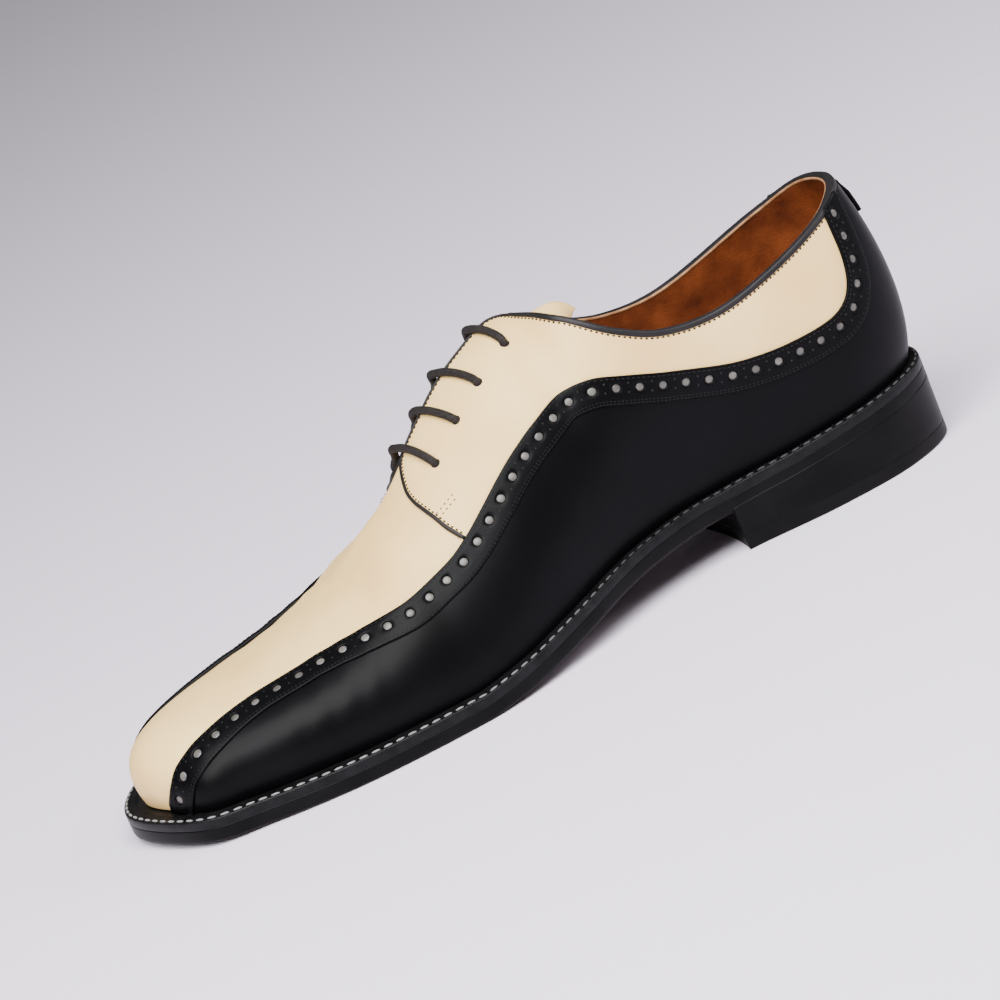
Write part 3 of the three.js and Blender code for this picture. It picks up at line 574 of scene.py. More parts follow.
def last_normal(ring, climb):
    """Straight out of the last's surface."""
    ring, climb = np.broadcast_arrays(np.asarray(ring, float), np.asarray(climb, float))
    step = 0.02
    along = last_point(ring + step, climb) - last_point(ring - step, climb)
    up = last_point(ring, np.minimum(climb + step, 1)) - last_point(ring, np.maximum(climb - step, 0))
    normal = np.cross(up, along)
    normal /= np.maximum(np.linalg.norm(normal, axis=-1, keepdims=True), 1e-9)
    ridge = np.stack([-crest_slope(rib_of(ring)), 0 * climb, 0 * climb + 1], -1)
    ridge /= np.linalg.norm(ridge, axis=-1, keepdims=True)
    near_crest = np.clip((climb - 0.975) / 0.025, 0, 1)[..., None]
    normal = normal * (1 - near_crest) + ridge * near_crest
    return normal / np.linalg.norm(normal, axis=-1, keepdims=True)


def settle(ring, climb):
    """How far the empty shoe has sunk off the last: the inner facing, and soft creases at the ball."""
    rib = rib_of(ring)
    depth = np.interp(rib, *facing_settle.T)
    facing = depth * smooth((climb - 0.55) / 0.25) * smooth((1 - climb) / 0.14) * is_inner(ring)
    creases = 0.0
    for at_foot, at_crest, deep in ball_creases:
        away = (rib - at_foot - (at_crest - at_foot) * climb) / crease_half
        creases = creases + deep * np.exp(-away * away)
    return facing + creases * smooth(climb / 0.3)


def on_last(ring, climb, offset=0.0):
    """A point off the shoe's surface, never lower than the welt's top."""
    lift = np.asarray(offset, float) - settle(ring, climb)
    point = last_point(ring, climb) + last_normal(ring, climb) * lift[..., None]
    point[..., 2] = np.maximum(point[..., 2], welt_top(point[..., 0]) - 0.1)
    return point


def first_climb(ring, height_over):
    """The climb at which a rib first rises over a height, walking up from the sole."""
    ring = np.atleast_1d(np.asarray(ring, float))
    steps = np.linspace(0, 1, 121)
    over = height_over(last_point(ring[:, None], steps[None, :]), ring[:, None])
    hit = over > 0
    first = np.where(hit.any(1), hit.argmax(1), len(steps) - 1)
    before = np.maximum(first - 1, 0)
    rows = np.arange(len(ring))
    low, high = over[rows, before], over[rows, first]
    share = np.clip(-low / np.where(np.abs(high - low) < 1e-9, 1e-9, high - low), 0, 1)
    return steps[before] + (steps[first] - steps[before]) * share


def is_inner(ring):
    return np.mod(ring, ring_ribs) > toe_rib


def collar_climb(ring):
    """The climb of the topline, without the throat."""
    def over(point, places):
        along = point[..., 0] / sole_length
        height = np.where(is_inner(places), read_table(collar_line[:, [0, 2]], along),
                          read_table(collar_line[:, :2], along))
        return point[..., 2] - height * back_height
    return first_climb(ring, over)


def slot_half(ring):
    """Half the throat's opening. The outer facing reaches the crest, the inner one stands off."""
    return np.where(is_inner(ring), slot_half_inner, slot_half_outer)


def down_from_crest(ring, distance):
    """The climb at which a rib, walked down from the crest, is this far from it in plan."""
    ring = np.atleast_1d(np.asarray(ring, float))
    steps = np.linspace(1, 0, 241)
    top = crest(rib_of(ring))
    points = last_point(ring[:, None], steps[None, :])
    away = np.hypot(points[..., 0] - top[:, None, 0], points[..., 1] - top[:, None, 1])
    past = away >= distance[:, None]
    first = np.where(past.any(1), past.argmax(1), len(steps) - 1)
    before = np.maximum(first - 1, 0)
    rows = np.arange(len(ring))
    low, high = away[rows, before], away[rows, first]
    share = np.clip((distance - low) / np.maximum(high - low, 1e-9), 0, 1)
    return steps[before] + (steps[first] - steps[before]) * share


def slot_climb(ring):
    return down_from_crest(ring, slot_half(np.atleast_1d(ring)))


def edge_climb(ring):
    """The upper's edge at the collar and the throat, with the facing's corner rounded."""
    collar, slot = collar_climb(ring), slot_climb(ring)
    near = np.maximum(1 - np.abs(collar - slot) / corner_blend, 0)
    inner = is_inner(ring)
    near = near * (1 - smooth((rib_of(ring) - np.where(inner, 5.2, 5.08)) / np.where(inner, 0.4, 0.2)))
    return np.clip(np.minimum(collar, slot) - near * near * corner_blend / 4, 0, 1)


def half_steps(stations):
    """Rib stations of the outer side, then their mirror stations on the inner side."""
    return np.concatenate([stations, ring_ribs - stations[::-1][1:]])


lining_stations = np.concatenate([
    np.linspace(0, 2, 30, endpoint=False), np.linspace(2, throat_front_rib, 70, endpoint=False),
    np.linspace(throat_front_rib, toe_rib, 50),
])
lining_ring = half_steps(lining_stations)
lining_rows = 40
lining_top = edge_climb(lining_ring)
lining_top[rib_of(lining_ring) >= lining_slot_rib] = 1.0


def lining_shape(i, j):
    climb = lining_top[i] * j / lining_rows
    return on_last(lining_ring[i], climb, lining_offset), i * 3.0, climb * 80


bm = sheet(len(lining_ring) - 1, lining_rows, lining_shape, wrap=True)
bmesh.ops.recalc_face_normals(bm, faces=bm.faces)
if sum(face.normal.y * face.calc_center_median().y for face in bm.faces) > 0:
    bmesh.ops.reverse_faces(bm, faces=bm.faces)
lining_tan = new_material("lining_tan", (0.09, 0.017, 0.0036), 0.75, specular=0.12)
grain(lining_tan, 1500, 0.45, 0.0006, detail=4.0)
mottle(lining_tan, (0.05, 0.009, 0.0018), (0.145, 0.033, 0.008), 90, detail=9.0)
lining = finish_mesh(bm, "lining", lining_tan)
thick = lining.modifiers.new("thickness", "SOLIDIFY")
thick.thickness = 0.0007
thick.offset = 1.0
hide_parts("upper")

# Vamp: one piece of pale calf from the toe back under the facings, pulled smooth over the last.
# The wings are laid over its sides, and the facings over its back.
vamp_back_rib = 6.3
vamp_slot_rib = 6.85
vamp_rows = 60
vamp_thickness = 0.9

vamp_stations = np.concatenate([
    np.linspace(vamp_back_rib, throat_front_rib, 16, endpoint=False),
    np.linspace(throat_front_rib, 11, 62, endpoint=False), np.linspace(11, toe_rib, 26),
])
vamp_ring = half_steps(vamp_stations)
vamp_top = np.where(rib_of(vamp_ring) < vamp_slot_rib, slot_climb(vamp_ring), 1.0)


def vamp_shape(i, j):
    climb = vamp_top[i] * j / vamp_rows
    return on_last(vamp_ring[i], climb, 0.0), i * 2.0, j * 1.0


def outwards(bm):
    """Turns an open panel's faces away from the inside of the shoe."""
    bmesh.ops.recalc_face_normals(bm, faces=bm.faces)
    middle = Vector((0, 0, 0.03))
    if sum(f.normal.dot(f.calc_center_median() - middle) * f.calc_area() for f in bm.faces) < 0:
        bmesh.ops.reverse_faces(bm, faces=bm.faces)


def thicken(piece, thickness, rounding=0.0):
    """Gives a panel its leather, inwards from the face, with its cut edges eased."""
    wall = piece.modifiers.new("leather", "SOLIDIFY")
    wall.thickness = thickness / 1000
    wall.offset = -1.0
    if rounding:
        ease_edge = piece.modifiers.new("cut edge", "BEVEL")
        ease_edge.width = rounding / 1000
        ease_edge.segments = 2
        ease_edge.profile = 0.5
        ease_edge.limit_method = "ANGLE"
        ease_edge.angle_limit = math.radians(50)


pale_calf = new_material("pale_calf", (0.88, 0.65, 0.25), 0.5, coat=0.03, coat_roughness=0.4, specular=0.35)
grain(pale_calf, 900, 0.10, 0.0003, detail=5.0)
mottle(pale_calf, (0.76, 0.49, 0.18), (0.88, 0.62, 0.25), 26, detail=4.0)
bm = sheet(len(vamp_ring) - 1, vamp_rows, vamp_shape, wrap=True)
outwards(bm)
vamp = finish_mesh(bm, "vamp", pale_calf)
thicken(vamp, vamp_thickness, 0.2)

# Quarters: two panels of pale calf from the facings round to the counter. Each is laid over the
# vamp with a rounded front corner, so its edge stands a leather's thickness proud.
quarter_lift = 0.9
quarter_rows = 40
quarter_margin = 0.05
quarter_back_rib = 1.4
quarter_side_rib = 2.1
corner_ribs = 0.54
quarter_rounding = 0.25
wing_front_rib = 11.5
wing_inner_drop = 3.0
wing_line = np.array([
    [0.0, 1.25], [1.2, 1.16], [1.45, 1.02], [1.6, 0.9], [1.7, 0.77], [1.82, 0.69], [2.0, 0.64],
    [2.3, 0.613], [2.8, 0.608], [3.2, 0.62], [3.5, 0.642], [4.0, 0.708], [4.4, 0.765],
    [4.75, 0.805], [5.1, 0.8], [5.4, 0.772], [5.75, 0.727], [6.05, 0.682], [6.5, 0.595],
    [6.8, 0.54], [7.15, 0.49], [7.7, 0.443], [8.3, 0.411], [9.0, 0.378], [9.6, 0.357],
    [10.0, 0.341], [10.4, 0.319], [10.85, 0.295], [11.1, 0.273], [11.23, 0.248], [11.32, 0.212],
    [11.4, 0.172], [11.5, 0.115],
])
# The quarter's front edge as ribs and climbs, from the throat round the corner to the wing.
front_outer = np.array([[6.97, 0.996], [7.09, 0.983], [7.15, 0.945], [7.2, 0.855]])
front_inner = np.array([[6.72, 0.928], [6.88, 0.915], [6.99, 0.89], [7.04, 0.855]])
front_lower = np.array([[6.84, 0.485], [6.97, 0.57], [7.04, 0.633], [7.13, 0.723], [7.18, 0.785],
                        [7.2, 0.855]])
inner_front_back = 0.16
flap_lift = 1.2
# How far the outer facing's free edge springs up, rib by rib.
edge_spring = np.array([
    [4.9, 0.0], [5.1, 0.1], [5.2, 0.7], [5.3, 1.6], [5.42, 1.8], [5.6, 1.1], [5.9, 0.5],
    [6.2, 0.5], [6.5, 1.0], [6.9, 1.0], [7.1, 0.3], [7.2, 0.0],
])


def beside(rib, side):
    """The place round the shoe of a rib on the outer (1) or inner (-1) side."""
    return rib if side > 0 else ring_ribs - rib


def wing_climb(ring):
    """The climb of the wing's upper edge."""
    def over(p, r):
        height = read_table(wing_line, rib_of(r) + 0 * p[..., 2]) * back_height
        return p[..., 2] - height + is_inner(r) * wing_inner_drop * smooth((rib_of(r) - 7) / 3)
    return first_climb(ring, over)


def front_edges(inner):
    """The front corner above and below its foremost point, as ribs and climbs."""
    if inner:
        return front_inner, front_lower - [inner_front_back, 0]
    return front_outer, front_lower


def quarter_span(ring, inner):
    """Lowest and highest climb of the quarter at each place round the shoe."""
    rib = rib_of(ring)
    low = np.maximum(wing_climb(ring) - quarter_margin, 0)
    high = edge_climb(ring)
    upper, lower = front_edges(inner)
    ahead = rib > upper[0, 0]
    high = np.where(ahead, np.minimum(high, np.interp(rib, *upper.T)), high)
    ahead = rib > lower[0, 0]
    low = np.where(ahead, np.maximum(low, np.interp(rib, *lower.T)), low)
    return np.minimum(low, high), high


def facing_lift(ring, climb):
    """The quarter's own lift. The inner front corner and the outer free edge spring up a little."""
    rib = rib_of(ring)
    front = flap_lift * smooth((rib - 6.7) / 0.35) * smooth((climb - 0.7) / 0.15) * is_inner(ring)
    top = read_table(edge_spring, rib) * smooth((climb - 0.7) / 0.27) * ~is_inner(ring)
    return quarter_lift + front + top


def quarter_stations(front):
    """Ribs from under the counter to the front corner, closest where the corner turns."""
    return np.concatenate([
        np.linspace(quarter_back_rib, quarter_side_rib, 24, endpoint=False),
        np.linspace(quarter_side_rib, front - corner_ribs, 96, endpoint=False),
        front - corner_ribs * np.linspace(1, 0, 26) ** 1.8,
    ])


for side_name, side in (("outer", 1), ("inner", -1)):
    quarter_ribs = quarter_stations(front_edges(side < 0)[0][-1, 0])
    quarter_ring = beside(quarter_ribs, side)
    quarter_low, quarter_high = quarter_span(quarter_ring, side < 0)

    def quarter_shape(i, j):
        climb = quarter_low[i] + (quarter_high[i] - quarter_low[i]) * j / quarter_rows
        return on_last(quarter_ring[i], climb, facing_lift(quarter_ring[i], climb)), i * 2.0, j * 1.0

    bm = sheet(len(quarter_ribs) - 1, quarter_rows, quarter_shape)
    outwards(bm)
    quarter = finish_mesh(bm, "quarter_" + side_name, pale_calf)
    thicken(quarter, quarter_lift, quarter_rounding)

# Topline binding: a strip of dark leather folded over the edge of the collar, down the facings
# and round the front of the quarters, and sewn through. Beside the lining it shows a pale edge.
binding_wide = 1.9
binding_narrow = 1.1
binding_thickness = 0.35
collar_ends_rib = 5.0
binding_step = 1.1


def binding_half(side):
    """Places round the shoe and climbs of the bound edge, from the heel to the wing in front."""
    upper, lower = front_edges(side < 0)
    ribs = np.linspace(0.01, upper[0, 0] - 0.06, 700)
    climbs = edge_climb(side * ribs)
    turn = np.vstack([[ribs[-1], climbs[-1]], upper[1:], lower[::-1][1:]])
    run = np.concatenate([[0], np.cumsum(np.hypot(*(np.diff(turn, axis=0) * [1, 2.5]).T))])
    fine = np.linspace(0, run[-1], 200)[1:]
    ribs = np.concatenate([ribs, read_table(np.stack([run, turn[:, 0]], 1), fine)])
    climbs = np.concatenate([climbs, read_table(np.stack([run, turn[:, 1]], 1), fine)])
    return side * ribs, climbs


def binding_path():
    inner, outer = binding_half(-1), binding_half(1)
    return np.concatenate([inner[0][::-1], outer[0]]), np.concatenate([inner[1][::-1], outer[1]])


def run_along(points):
    return np.concatenate([[0], np.cumsum(np.linalg.norm(np.diff(points, axis=0), axis=1))])


def even_path(ring, climb, spacing, ends=(0.0, 0.0)):
    """The same line on the last, with stations evenly spaced in millimetres."""
    run = run_along(last_point(ring, climb))
    count = max(int(round((run[-1] - ends[0] - ends[1]) / spacing)), 1)
    place = np.linspace(ends[0], run[-1] - ends[1], count + 1)
    return np.interp(place, run, ring), np.interp(place, run, climb)


def across_path(ring, climb):
    """Unit steps along a line on the last, out of the leather, and into the panel beside it."""
    along = np.gradient(last_point(ring, climb), axis=0)
    along /= np.linalg.norm(along, axis=1, keepdims=True)
    normal = last_normal(ring, climb)
    into = np.cross(normal, along)
    return along, normal, into / np.linalg.norm(into, axis=1, keepdims=True)


def step_in(ring, climb, distance):
    """A line on the last moved sideways over the leather by a distance in millimetres."""
    ring, climb = np.array(ring, float), np.array(climb, float)
    distance = np.broadcast_to(np.asarray(distance, float), ring.shape)
    along, _, _ = across_path(ring, climb)
    steps = max(1, int(np.ceil(np.abs(distance).max() / 0.7)))
    e = 1e-3
    for _ in range(steps):
        here = last_point(ring, climb)
        by_ring = (last_point(ring + e, climb) - last_point(ring - e, climb)) / (2 * e)
        by_climb = (here - last_point(ring, climb - e)) / e
        into = np.cross(last_normal(ring, climb), along)
        into *= (distance / steps)[:, None] / np.linalg.norm(into, axis=1, keepdims=True)
        rr = (by_ring ** 2).sum(1)
        cc = (by_climb ** 2).sum(1)
        rc = (by_ring * by_climb).sum(1)
        r = (by_ring * into).sum(1)
        c = (by_climb * into).sum(1)
        det = np.maximum(rr * cc - rc * rc, 1e-6)
        ring = ring + (r * cc - c * rc) / det
        climb = np.clip(climb + (c * rr - r * rc) / det, 0, 1)
    return ring, climb


bound_ring, bound_climb = even_path(*binding_path(), binding_step)
narrowing = smooth((np.abs(bound_ring) - 4.4) / 1.2)
binding_width = binding_wide + (binding_narrow - binding_wide) * narrowing
# Each row: share of the width down the outer side (negative is over the edge), offset.
binding_section = np.array([
    (1.0, 0.85), (0.97, 1.25), (0.75, 1.45), (0.4, 1.48), (0.1, 1.38), (-0.12, 1.0),
    (-0.22, 0.3), (-0.24, -0.5), (-0.2, -1.2), (-0.08, -1.75), (0.2, -1.95), (0.5, -1.9),
])


def strip(path, width, section):
    """A folded strip along a line on the last, its section given across the line."""
    ring, climb = path
    _, normal, into = across_path(ring, climb)
    rows = []
    for share, offset in section:
        down = np.maximum(share, 0) * width
        r, c = step_in(ring, climb, down) if share > 0 else (ring, climb)
        over = offset + facing_lift(r, c) - quarter_lift - settle(r, c)
        point = last_point(r, c) + last_normal(r, c) * over[:, None]
        rows.append(point + into * (np.minimum(share, 0) * width)[:, None])
    rows = np.array(rows)

    def shape(i, j):
        return rows[j, i], i * binding_step, j * 0.7

    return sheet(len(ring) - 1, len(section) - 1, shape)


bm = strip((bound_ring, bound_climb), binding_width, binding_section)
outwards(bm)
binding_calf = new_material("binding_calf", (0.009, 0.008, 0.009), 0.5, coat=0.03, specular=0.22)
grain(binding_calf, 1300, 0.25, 0.0004)
mottle(binding_calf, (0.005, 0.0045, 0.005), (0.013, 0.011, 0.012), 60)
binding = finish_mesh(bm, "topline_binding", binding_calf)
thicken(binding, binding_thickness)

collar_only = np.abs(bound_ring) < collar_ends_rib
bm = strip((bound_ring[collar_only], bound_climb[collar_only]), binding_width[collar_only],
           [(-0.05, -1.5), (-0.12, -1.9), (-0.02, -2.25), (0.25, -2.3), (0.42, -2.0)])
outwards(bm)
edge_pale = new_material("edge_pale", (0.30, 0.14, 0.06), 0.8, specular=0.2)
mottle(edge_pale, (0.20, 0.08, 0.03), (0.36, 0.19, 0.09), 300)
lining_edge = finish_mesh(bm, "lining_cut_edge", edge_pale)

# Wings: two panels of black calf from beside the toe, along the foot and up round the heel, where
# they meet in the back seam. They are laid over the vamp and the quarters.
wing_lift = 1.25
wing_thickness = 1.2
wing_rows = 34
wing_back_rib = 1.3
wing_spacing = 2.0
wing_rounding = 0.25


def wing_path(side):
    """Ribs and climbs along the wing's upper edge, from above the collar to the welt."""
    ribs = np.concatenate([np.linspace(wing_back_rib, 2.0, 300, endpoint=False), np.linspace(2.0, 11.0, 700),
                           np.linspace(11.01, wing_front_rib, 120)])
    return ribs, wing_climb(beside(ribs, side))


black_calf = new_material("black_calf", (0.0012, 0.0012, 0.0016), 0.42, coat=0.045, specular=0.05)
grain(black_calf, 1000, 0.12, 0.0003, detail=5.0)
mottle(black_calf, (0.001, 0.001, 0.0013), (0.0018, 0.0018, 0.0024), 30)
for side_name, side in (("outer", 1), ("inner", -1)):
    even_ribs, _ = even_path(*wing_path(side), wing_spacing)
    wing_ribs = np.concatenate([np.linspace(0.012, even_ribs[0], 16, endpoint=False), even_ribs])
    wing_ring = beside(wing_ribs, side)
    wing_tops = np.minimum(wing_climb(wing_ring), edge_climb(wing_ring))
    wing_tops[-1] = 0.004

    def wing_shape(i, j):
        return on_last(wing_ring[i], wing_tops[i] * j / wing_rows, wing_lift), i * 2.0, j * 1.0

    bm = sheet(len(wing_ribs) - 1, wing_rows, wing_shape)
    outwards(bm)
    wing = finish_mesh(bm, "wing_" + side_name + "_calf", black_calf)
    thicken(wing, wing_thickness, wing_rounding)
    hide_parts("wing_" + side_name)

# Punched band: a strip of black calf sewn along each wing's upper edge, with a row of punched
# holes. Pale leather laid underneath swells a little into each hole.
band_thickness = 0.7
band_lift = 1.95
hole_radius = 1.45
hole_line = 4.0
hole_count = 41
hole_from_front = 6.5
hole_from_collar = 4.5
band_width = 9.6
hole_row = 4
band_run_steps = 420
band_across_steps = 21
swell_radius = 1.65
swell_height = 0.4


class Band:
    """A band's own grid of places: millimetres along the line of holes and across it."""

    def __init__(self, side):
        self.side = side
        ribs, climbs = step_in(*wing_path(side), hole_line)
        climbs = np.maximum(climbs, 0)
        run = run_along(last_point(ribs, climbs))
        self.collar = run[np.argmax(edge_climb(ribs) > climbs)]
        at_foot = climbs <= 0.002
        self.foot = run[np.argmax(at_foot)] if at_foot.any() else run[-1]
        self.holes = np.linspace(self.collar + hole_from_collar, self.foot - hole_from_front, hole_count)
        self.pitch = self.holes[1] - self.holes[0]
        self.run = np.linspace(self.collar - 3, run[-1], band_run_steps)
        self.across = np.linspace(-hole_line, band_width - hole_line, band_across_steps)
        ribs, climbs = np.interp(self.run, run, ribs), np.interp(self.run, run, climbs)
        self.places = np.array([step_in(ribs, climbs, across) for across in self.across])

    def read(self, run, across, column):
        a = np.clip(np.interp(run, self.run, np.arange(len(self.run))), 0, len(self.run) - 1.001)
        b = np.clip(np.interp(across, self.across, np.arange(len(self.across))), 0, len(self.across) - 1.001)
        ai, bi = a.astype(int), b.astype(int)
        aw, bw = a - ai, b - bi
        grid = self.places[:, column]
        low = grid[bi, ai] * (1 - aw) + grid[bi, ai + 1] * aw
        high = grid[bi + 1, ai] * (1 - aw) + grid[bi + 1, ai + 1] * aw
        return low * (1 - bw) + high * bw

    def points(self, run, across, offset):
        """Places round the shoe, climbs and points over the wing."""
        rib = self.read(run, across, 0)
        climb = np.clip(np.minimum(self.read(run, across, 1), edge_climb(rib)), 0, 1)
        ring = beside(rib, self.side)
        return ring, climb, on_last(ring, climb, offset)


bands = (Band(1), Band(-1))
side_stations = np.array([-3.97, -3.3, -2.4, -hole_radius, 0, hole_radius, 2.6, 3.7, 4.8, 5.5])
for band in bands:
    run_stations = [band.collar - 2.5, band.collar + 1.2]
    hole_columns = set()
    for hole in band.holes:
        hole_columns.add(len(run_stations) + 1)
        run_stations += [hole - hole_radius, hole, hole + hole_radius, hole + band.pitch / 2]
    run_stations = np.array(run_stations + [band.foot - 1.2, band.foot + 0.8])

    def band_shape(i, j):
        run, across = run_stations[i].copy(), side_stations[j].copy()
        for k in range(len(i)):
            beside_hole = next((c for c in (i[k] - 1, i[k] + 1) if c in hole_columns), None)
            if beside_hole is not None and abs(j[k] - hole_row) == 1:
                centre = run_stations[beside_hole]
                run[k] = centre + (run[k] - centre) * 0.7071
                across[k] *= 0.7071
        return band.points(run, across, band_lift)[2], run, across

    bm = sheet(len(run_stations) - 1, len(side_stations) - 1, band_shape)
    outwards(bm)
    uv = bm.loops.layers.uv.active
    middles = []
    for vert in bm.verts:
        run, across = vert.link_loops[0][uv].uv
        if abs(across) < 1e-4 and np.abs(band.holes - run).min() < 1e-3:
            middles.append(vert)
    bmesh.ops.delete(bm, geom=middles, context="VERTS")
    punched = finish_mesh(bm, "punched_band_" + ("outer" if band.side > 0 else "inner"), black_calf)
    thicken(punched, band_thickness)
    rounding = punched.modifiers.new("round holes", "SUBSURF")
    rounding.levels = rounding.render_levels = 1


def add_dome(bm, point, normal, radius, height):
    """Adds a low round dome that lies on the leather."""
    turn = Vector(normal).to_track_quat("Z", "Y").to_matrix().to_4x4()
    size = Matrix.Diagonal((radius / 1000, radius / 1000, height / 1000, 1))
    place = Matrix.Translation(Vector(in_frame(point))) @ turn @ size
    bmesh.ops.create_icosphere(bm, subdivisions=2, radius=1, matrix=place)


hole_pale = new_material("hole_pale", (0.07, 0.066, 0.058), 0.4, coat=0.12, coat_roughness=0.3)
mottle(hole_pale, (0.035, 0.033, 0.03), (0.12, 0.112, 0.10), 140)
bm = bmesh.new()
for band in bands:
    ring, climb, points = band.points(band.holes, 0 * band.holes, wing_lift - 0.05)
    for point, normal in zip(points, last_normal(ring, climb)):
        add_dome(bm, point, normal, swell_radius, swell_height)
hole_leather = finish_mesh(bm, "hole_leather", hole_pale)

# Band stitching: one fine row under the upper edge, two rows along the lower edge, and a pair of pin marks
# between each two holes, small dark dots of painted shade that stand for punched pinholes.
black_thread = new_material("black_thread", (0.006, 0.0055, 0.006), 0.7, specular=0.2)
mottle(black_thread, (0.004, 0.0035, 0.004), (0.009, 0.008, 0.0085), 400)
# Painted shade: a near-black finish for the pin marks and lace holes, standing for the shade inside punched
# holes.
hole_shade_dark = new_material("hole_shade_dark", (0.002, 0.002, 0.002), 0.9)
grain(hole_shade_dark, 1500, 0.2, 0.0002)
# Each row: millimetres below the holes, pitch, a stitch's length and width.
band_rows = ((-2.95, 1.75, 1.25, 0.42), (4.15, 1.35, 0.8, 0.4), (5.0, 1.35, 0.8, 0.4))
pin_rows = (-1.45, 1.45)
stitches = bmesh.new()
pins = bmesh.new()
for band in bands:
    for across, pitch, length, width in band_rows:
        runs = np.arange(band.collar + 1.5, band.foot - 1.0, pitch)
        ring, climb, points = band.points(runs, 0 * runs + across, band_lift + 0.03)
        sew(stitches, points, np.gradient(points, axis=0), last_normal(ring, climb), length, width, 0.3)
    for across in pin_rows:
        runs = band.holes[:-1] + band.pitch / 2
        ring, climb, points = band.points(runs, 0 * runs + across, band_lift + 0.02)
        sew(pins, points, np.gradient(points, axis=0), last_normal(ring, climb), 0.75, 0.75, 0.12)
band_stitches = finish_mesh(stitches, "band_stitches", black_thread)
pin_marks = finish_mesh(pins, "pin_marks", hole_shade_dark)

# Facing stitches: dark thread just inside the binding, and a short bar tack at each front corner
# that keeps the facings from tearing off the vamp.
tack_from = (6.99, 0.622)
tack_to = (6.74, 0.605)
tack_rows = (0, 0.02)
tack_stitch_size = (0.9, 0.5, 0.3)
facing_stitch_pitch = 1.75
facing_stitch_size = (1.1, 0.7, 0.45)
beside_binding = 0.4
under_wing_rib = 1.62
stitch_lift = 0.02
bm = bmesh.new()
stitch_ring, stitch_climb = even_path(bound_ring, bound_climb, facing_stitch_pitch, (2.0, 2.0))
wide = np.interp(stitch_ring, bound_ring, binding_width)
row_ring, row_climb = step_in(stitch_ring, stitch_climb, wide + beside_binding)
along, normal, _ = across_path(row_ring, row_climb)
under_wing = rib_of(row_ring) < under_wing_rib
resting = np.where(under_wing, wing_lift, facing_lift(row_ring, row_climb)) + stitch_lift
points = on_last(row_ring, row_climb, resting)
sew(bm, points, along, normal, *facing_stitch_size)
for side in (1, -1):
    for shift in tack_rows:
        share = np.linspace(0, 1, 5)
        rib = tack_from[0] + (tack_to[0] - tack_from[0]) * share
        climb = tack_from[1] + (tack_to[1] - tack_from[1]) * share + shift
        ring = beside(rib, side)
        points = on_last(ring, climb, quarter_lift + stitch_lift)
        sew(bm, points, np.gradient(points, axis=0), last_normal(ring, climb), *tack_stitch_size)
facing_thread = new_material("facing_thread", (0.012, 0.008, 0.006), 0.7, specular=0.2)
mottle(facing_thread, (0.006, 0.004, 0.003), (0.018, 0.011, 0.008), 300)
facing_stitches = finish_mesh(bm, "facing_stitches", facing_thread)

# Tongue: pale calf, sewn under the vamp in front and free at the back, where its narrow rounded
# tip stands past the facings.
tongue_thickness = 1.8
tongue_drop = 2.2
tongue_front_drop = 0.3
tongue_tuck = 16.0
tongue_tip_reach = 22.0
tongue_arch = 7.3
tongue_tip_drop = 12.3
tongue_foot = 0.64
tongue_back_rib = 5.2
tongue_front_rib = 7.9
tongue_across = 36
tongue_tip_rows = 16
tongue_rows = 44


def tongue_shape(i, j):
    u = i / tongue_across * 2 - 1
    on_shoe = np.clip((j - tongue_tip_rows) / (tongue_rows - tongue_tip_rows), 0, 1)
    rib = tongue_back_rib + (tongue_front_rib - tongue_back_rib) * on_shoe
    share = np.sin(np.clip(1 - j / tongue_tip_rows, 0, 1) * np.pi / 2)
    ring = np.where(u >= 0, rib, ring_ribs - rib)
    climb = 1 - np.abs(u) * (1 - tongue_foot)
    x = crest(rib)[:, 0]
    front = throat_along * sole_length
    tuck = smooth((x - front + 8) / (tongue_tuck + 4))
    drop = tongue_drop + (tongue_front_drop - tongue_drop) * tuck
    below = (wall_thickness + drop + settle(ring, climb))[:, None]
    point = last_point(ring, climb) - last_normal(ring, climb) * below
    middle = last_point(rib, 0 * rib + 1) - last_normal(rib, 0 * rib + 1) * (wall_thickness + drop)[:, None]
    narrow = np.sqrt(1 - (0.95 * share ** 1.6) ** 2)
    point[:, 1:] = middle[:, 1:] + (point[:, 1:] - middle[:, 1:]) * narrow[:, None]
    point[:, 0] -= tongue_tip_reach * share
    point[:, 2] += tongue_arch * share ** 2 - tongue_tip_drop * share ** 4
    return point, i * 1.5, j * 2.0


bm = sheet(tongue_across, tongue_rows, tongue_shape)
outwards(bm)
tongue = finish_mesh(bm, "tongue_calf", pale_calf)
thicken(tongue, tongue_thickness)
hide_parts("tongue")

# Lace: one round waxed cotton lace, charcoal brown, run straight across from hole to hole in the
# facings. Inside it goes up from row to row, and its two ends stop inside at the top holes.
lace_diameter = 2.8
lace_sides = 16
lace_step = 0.6
# Each row's eyelets as rib and climb, and how far forward its lace lies where it meets the edge.
eyelets = ((5.38, 0.828, 6.3), (5.87, 0.79, 9.3), (6.3, 0.775, 8.8), (6.75, 0.765, 7.3))
# Each step from inside the hole to the crest: share of the way up, and height over resting on the
# leather. Then for the inner side: share of the lean, and height.
lace_steps = np.array([
    [0.0, -5.9, 0.5, -5.9], [0.0, -3.9, 0.5, -3.9], [0.0, -1.9, 0.5, -1.9], [0.07, -0.3, 0.5, -0.3],
    [0.2, 0.0, 0.55, 0.0], [0.4, 0.0, 0.68, 0.15], [0.6, 0.0, 0.8, 0.6], [0.8, 0.0, 0.92, 1.1],
    [1.0, 0.0, 1.0, 0.0],
])
lace_inside = -4.4
fine_ribs = np.linspace(4, 8, 1601)


def forward_rib(rib, forward):
    """The rib that lies so many millimetres in front of another along the crest."""
    return np.interp(at_rib(0, rib) + forward / sole_length, at_rib(0, fine_ribs), fine_ribs)


def hole_rib(index, side):
    """The inner side's holes sit half a lace's slant further forward."""
    rib, _, lean = eyelets[index]
    return rib if side > 0 else forward_rib(rib, lean / 2)


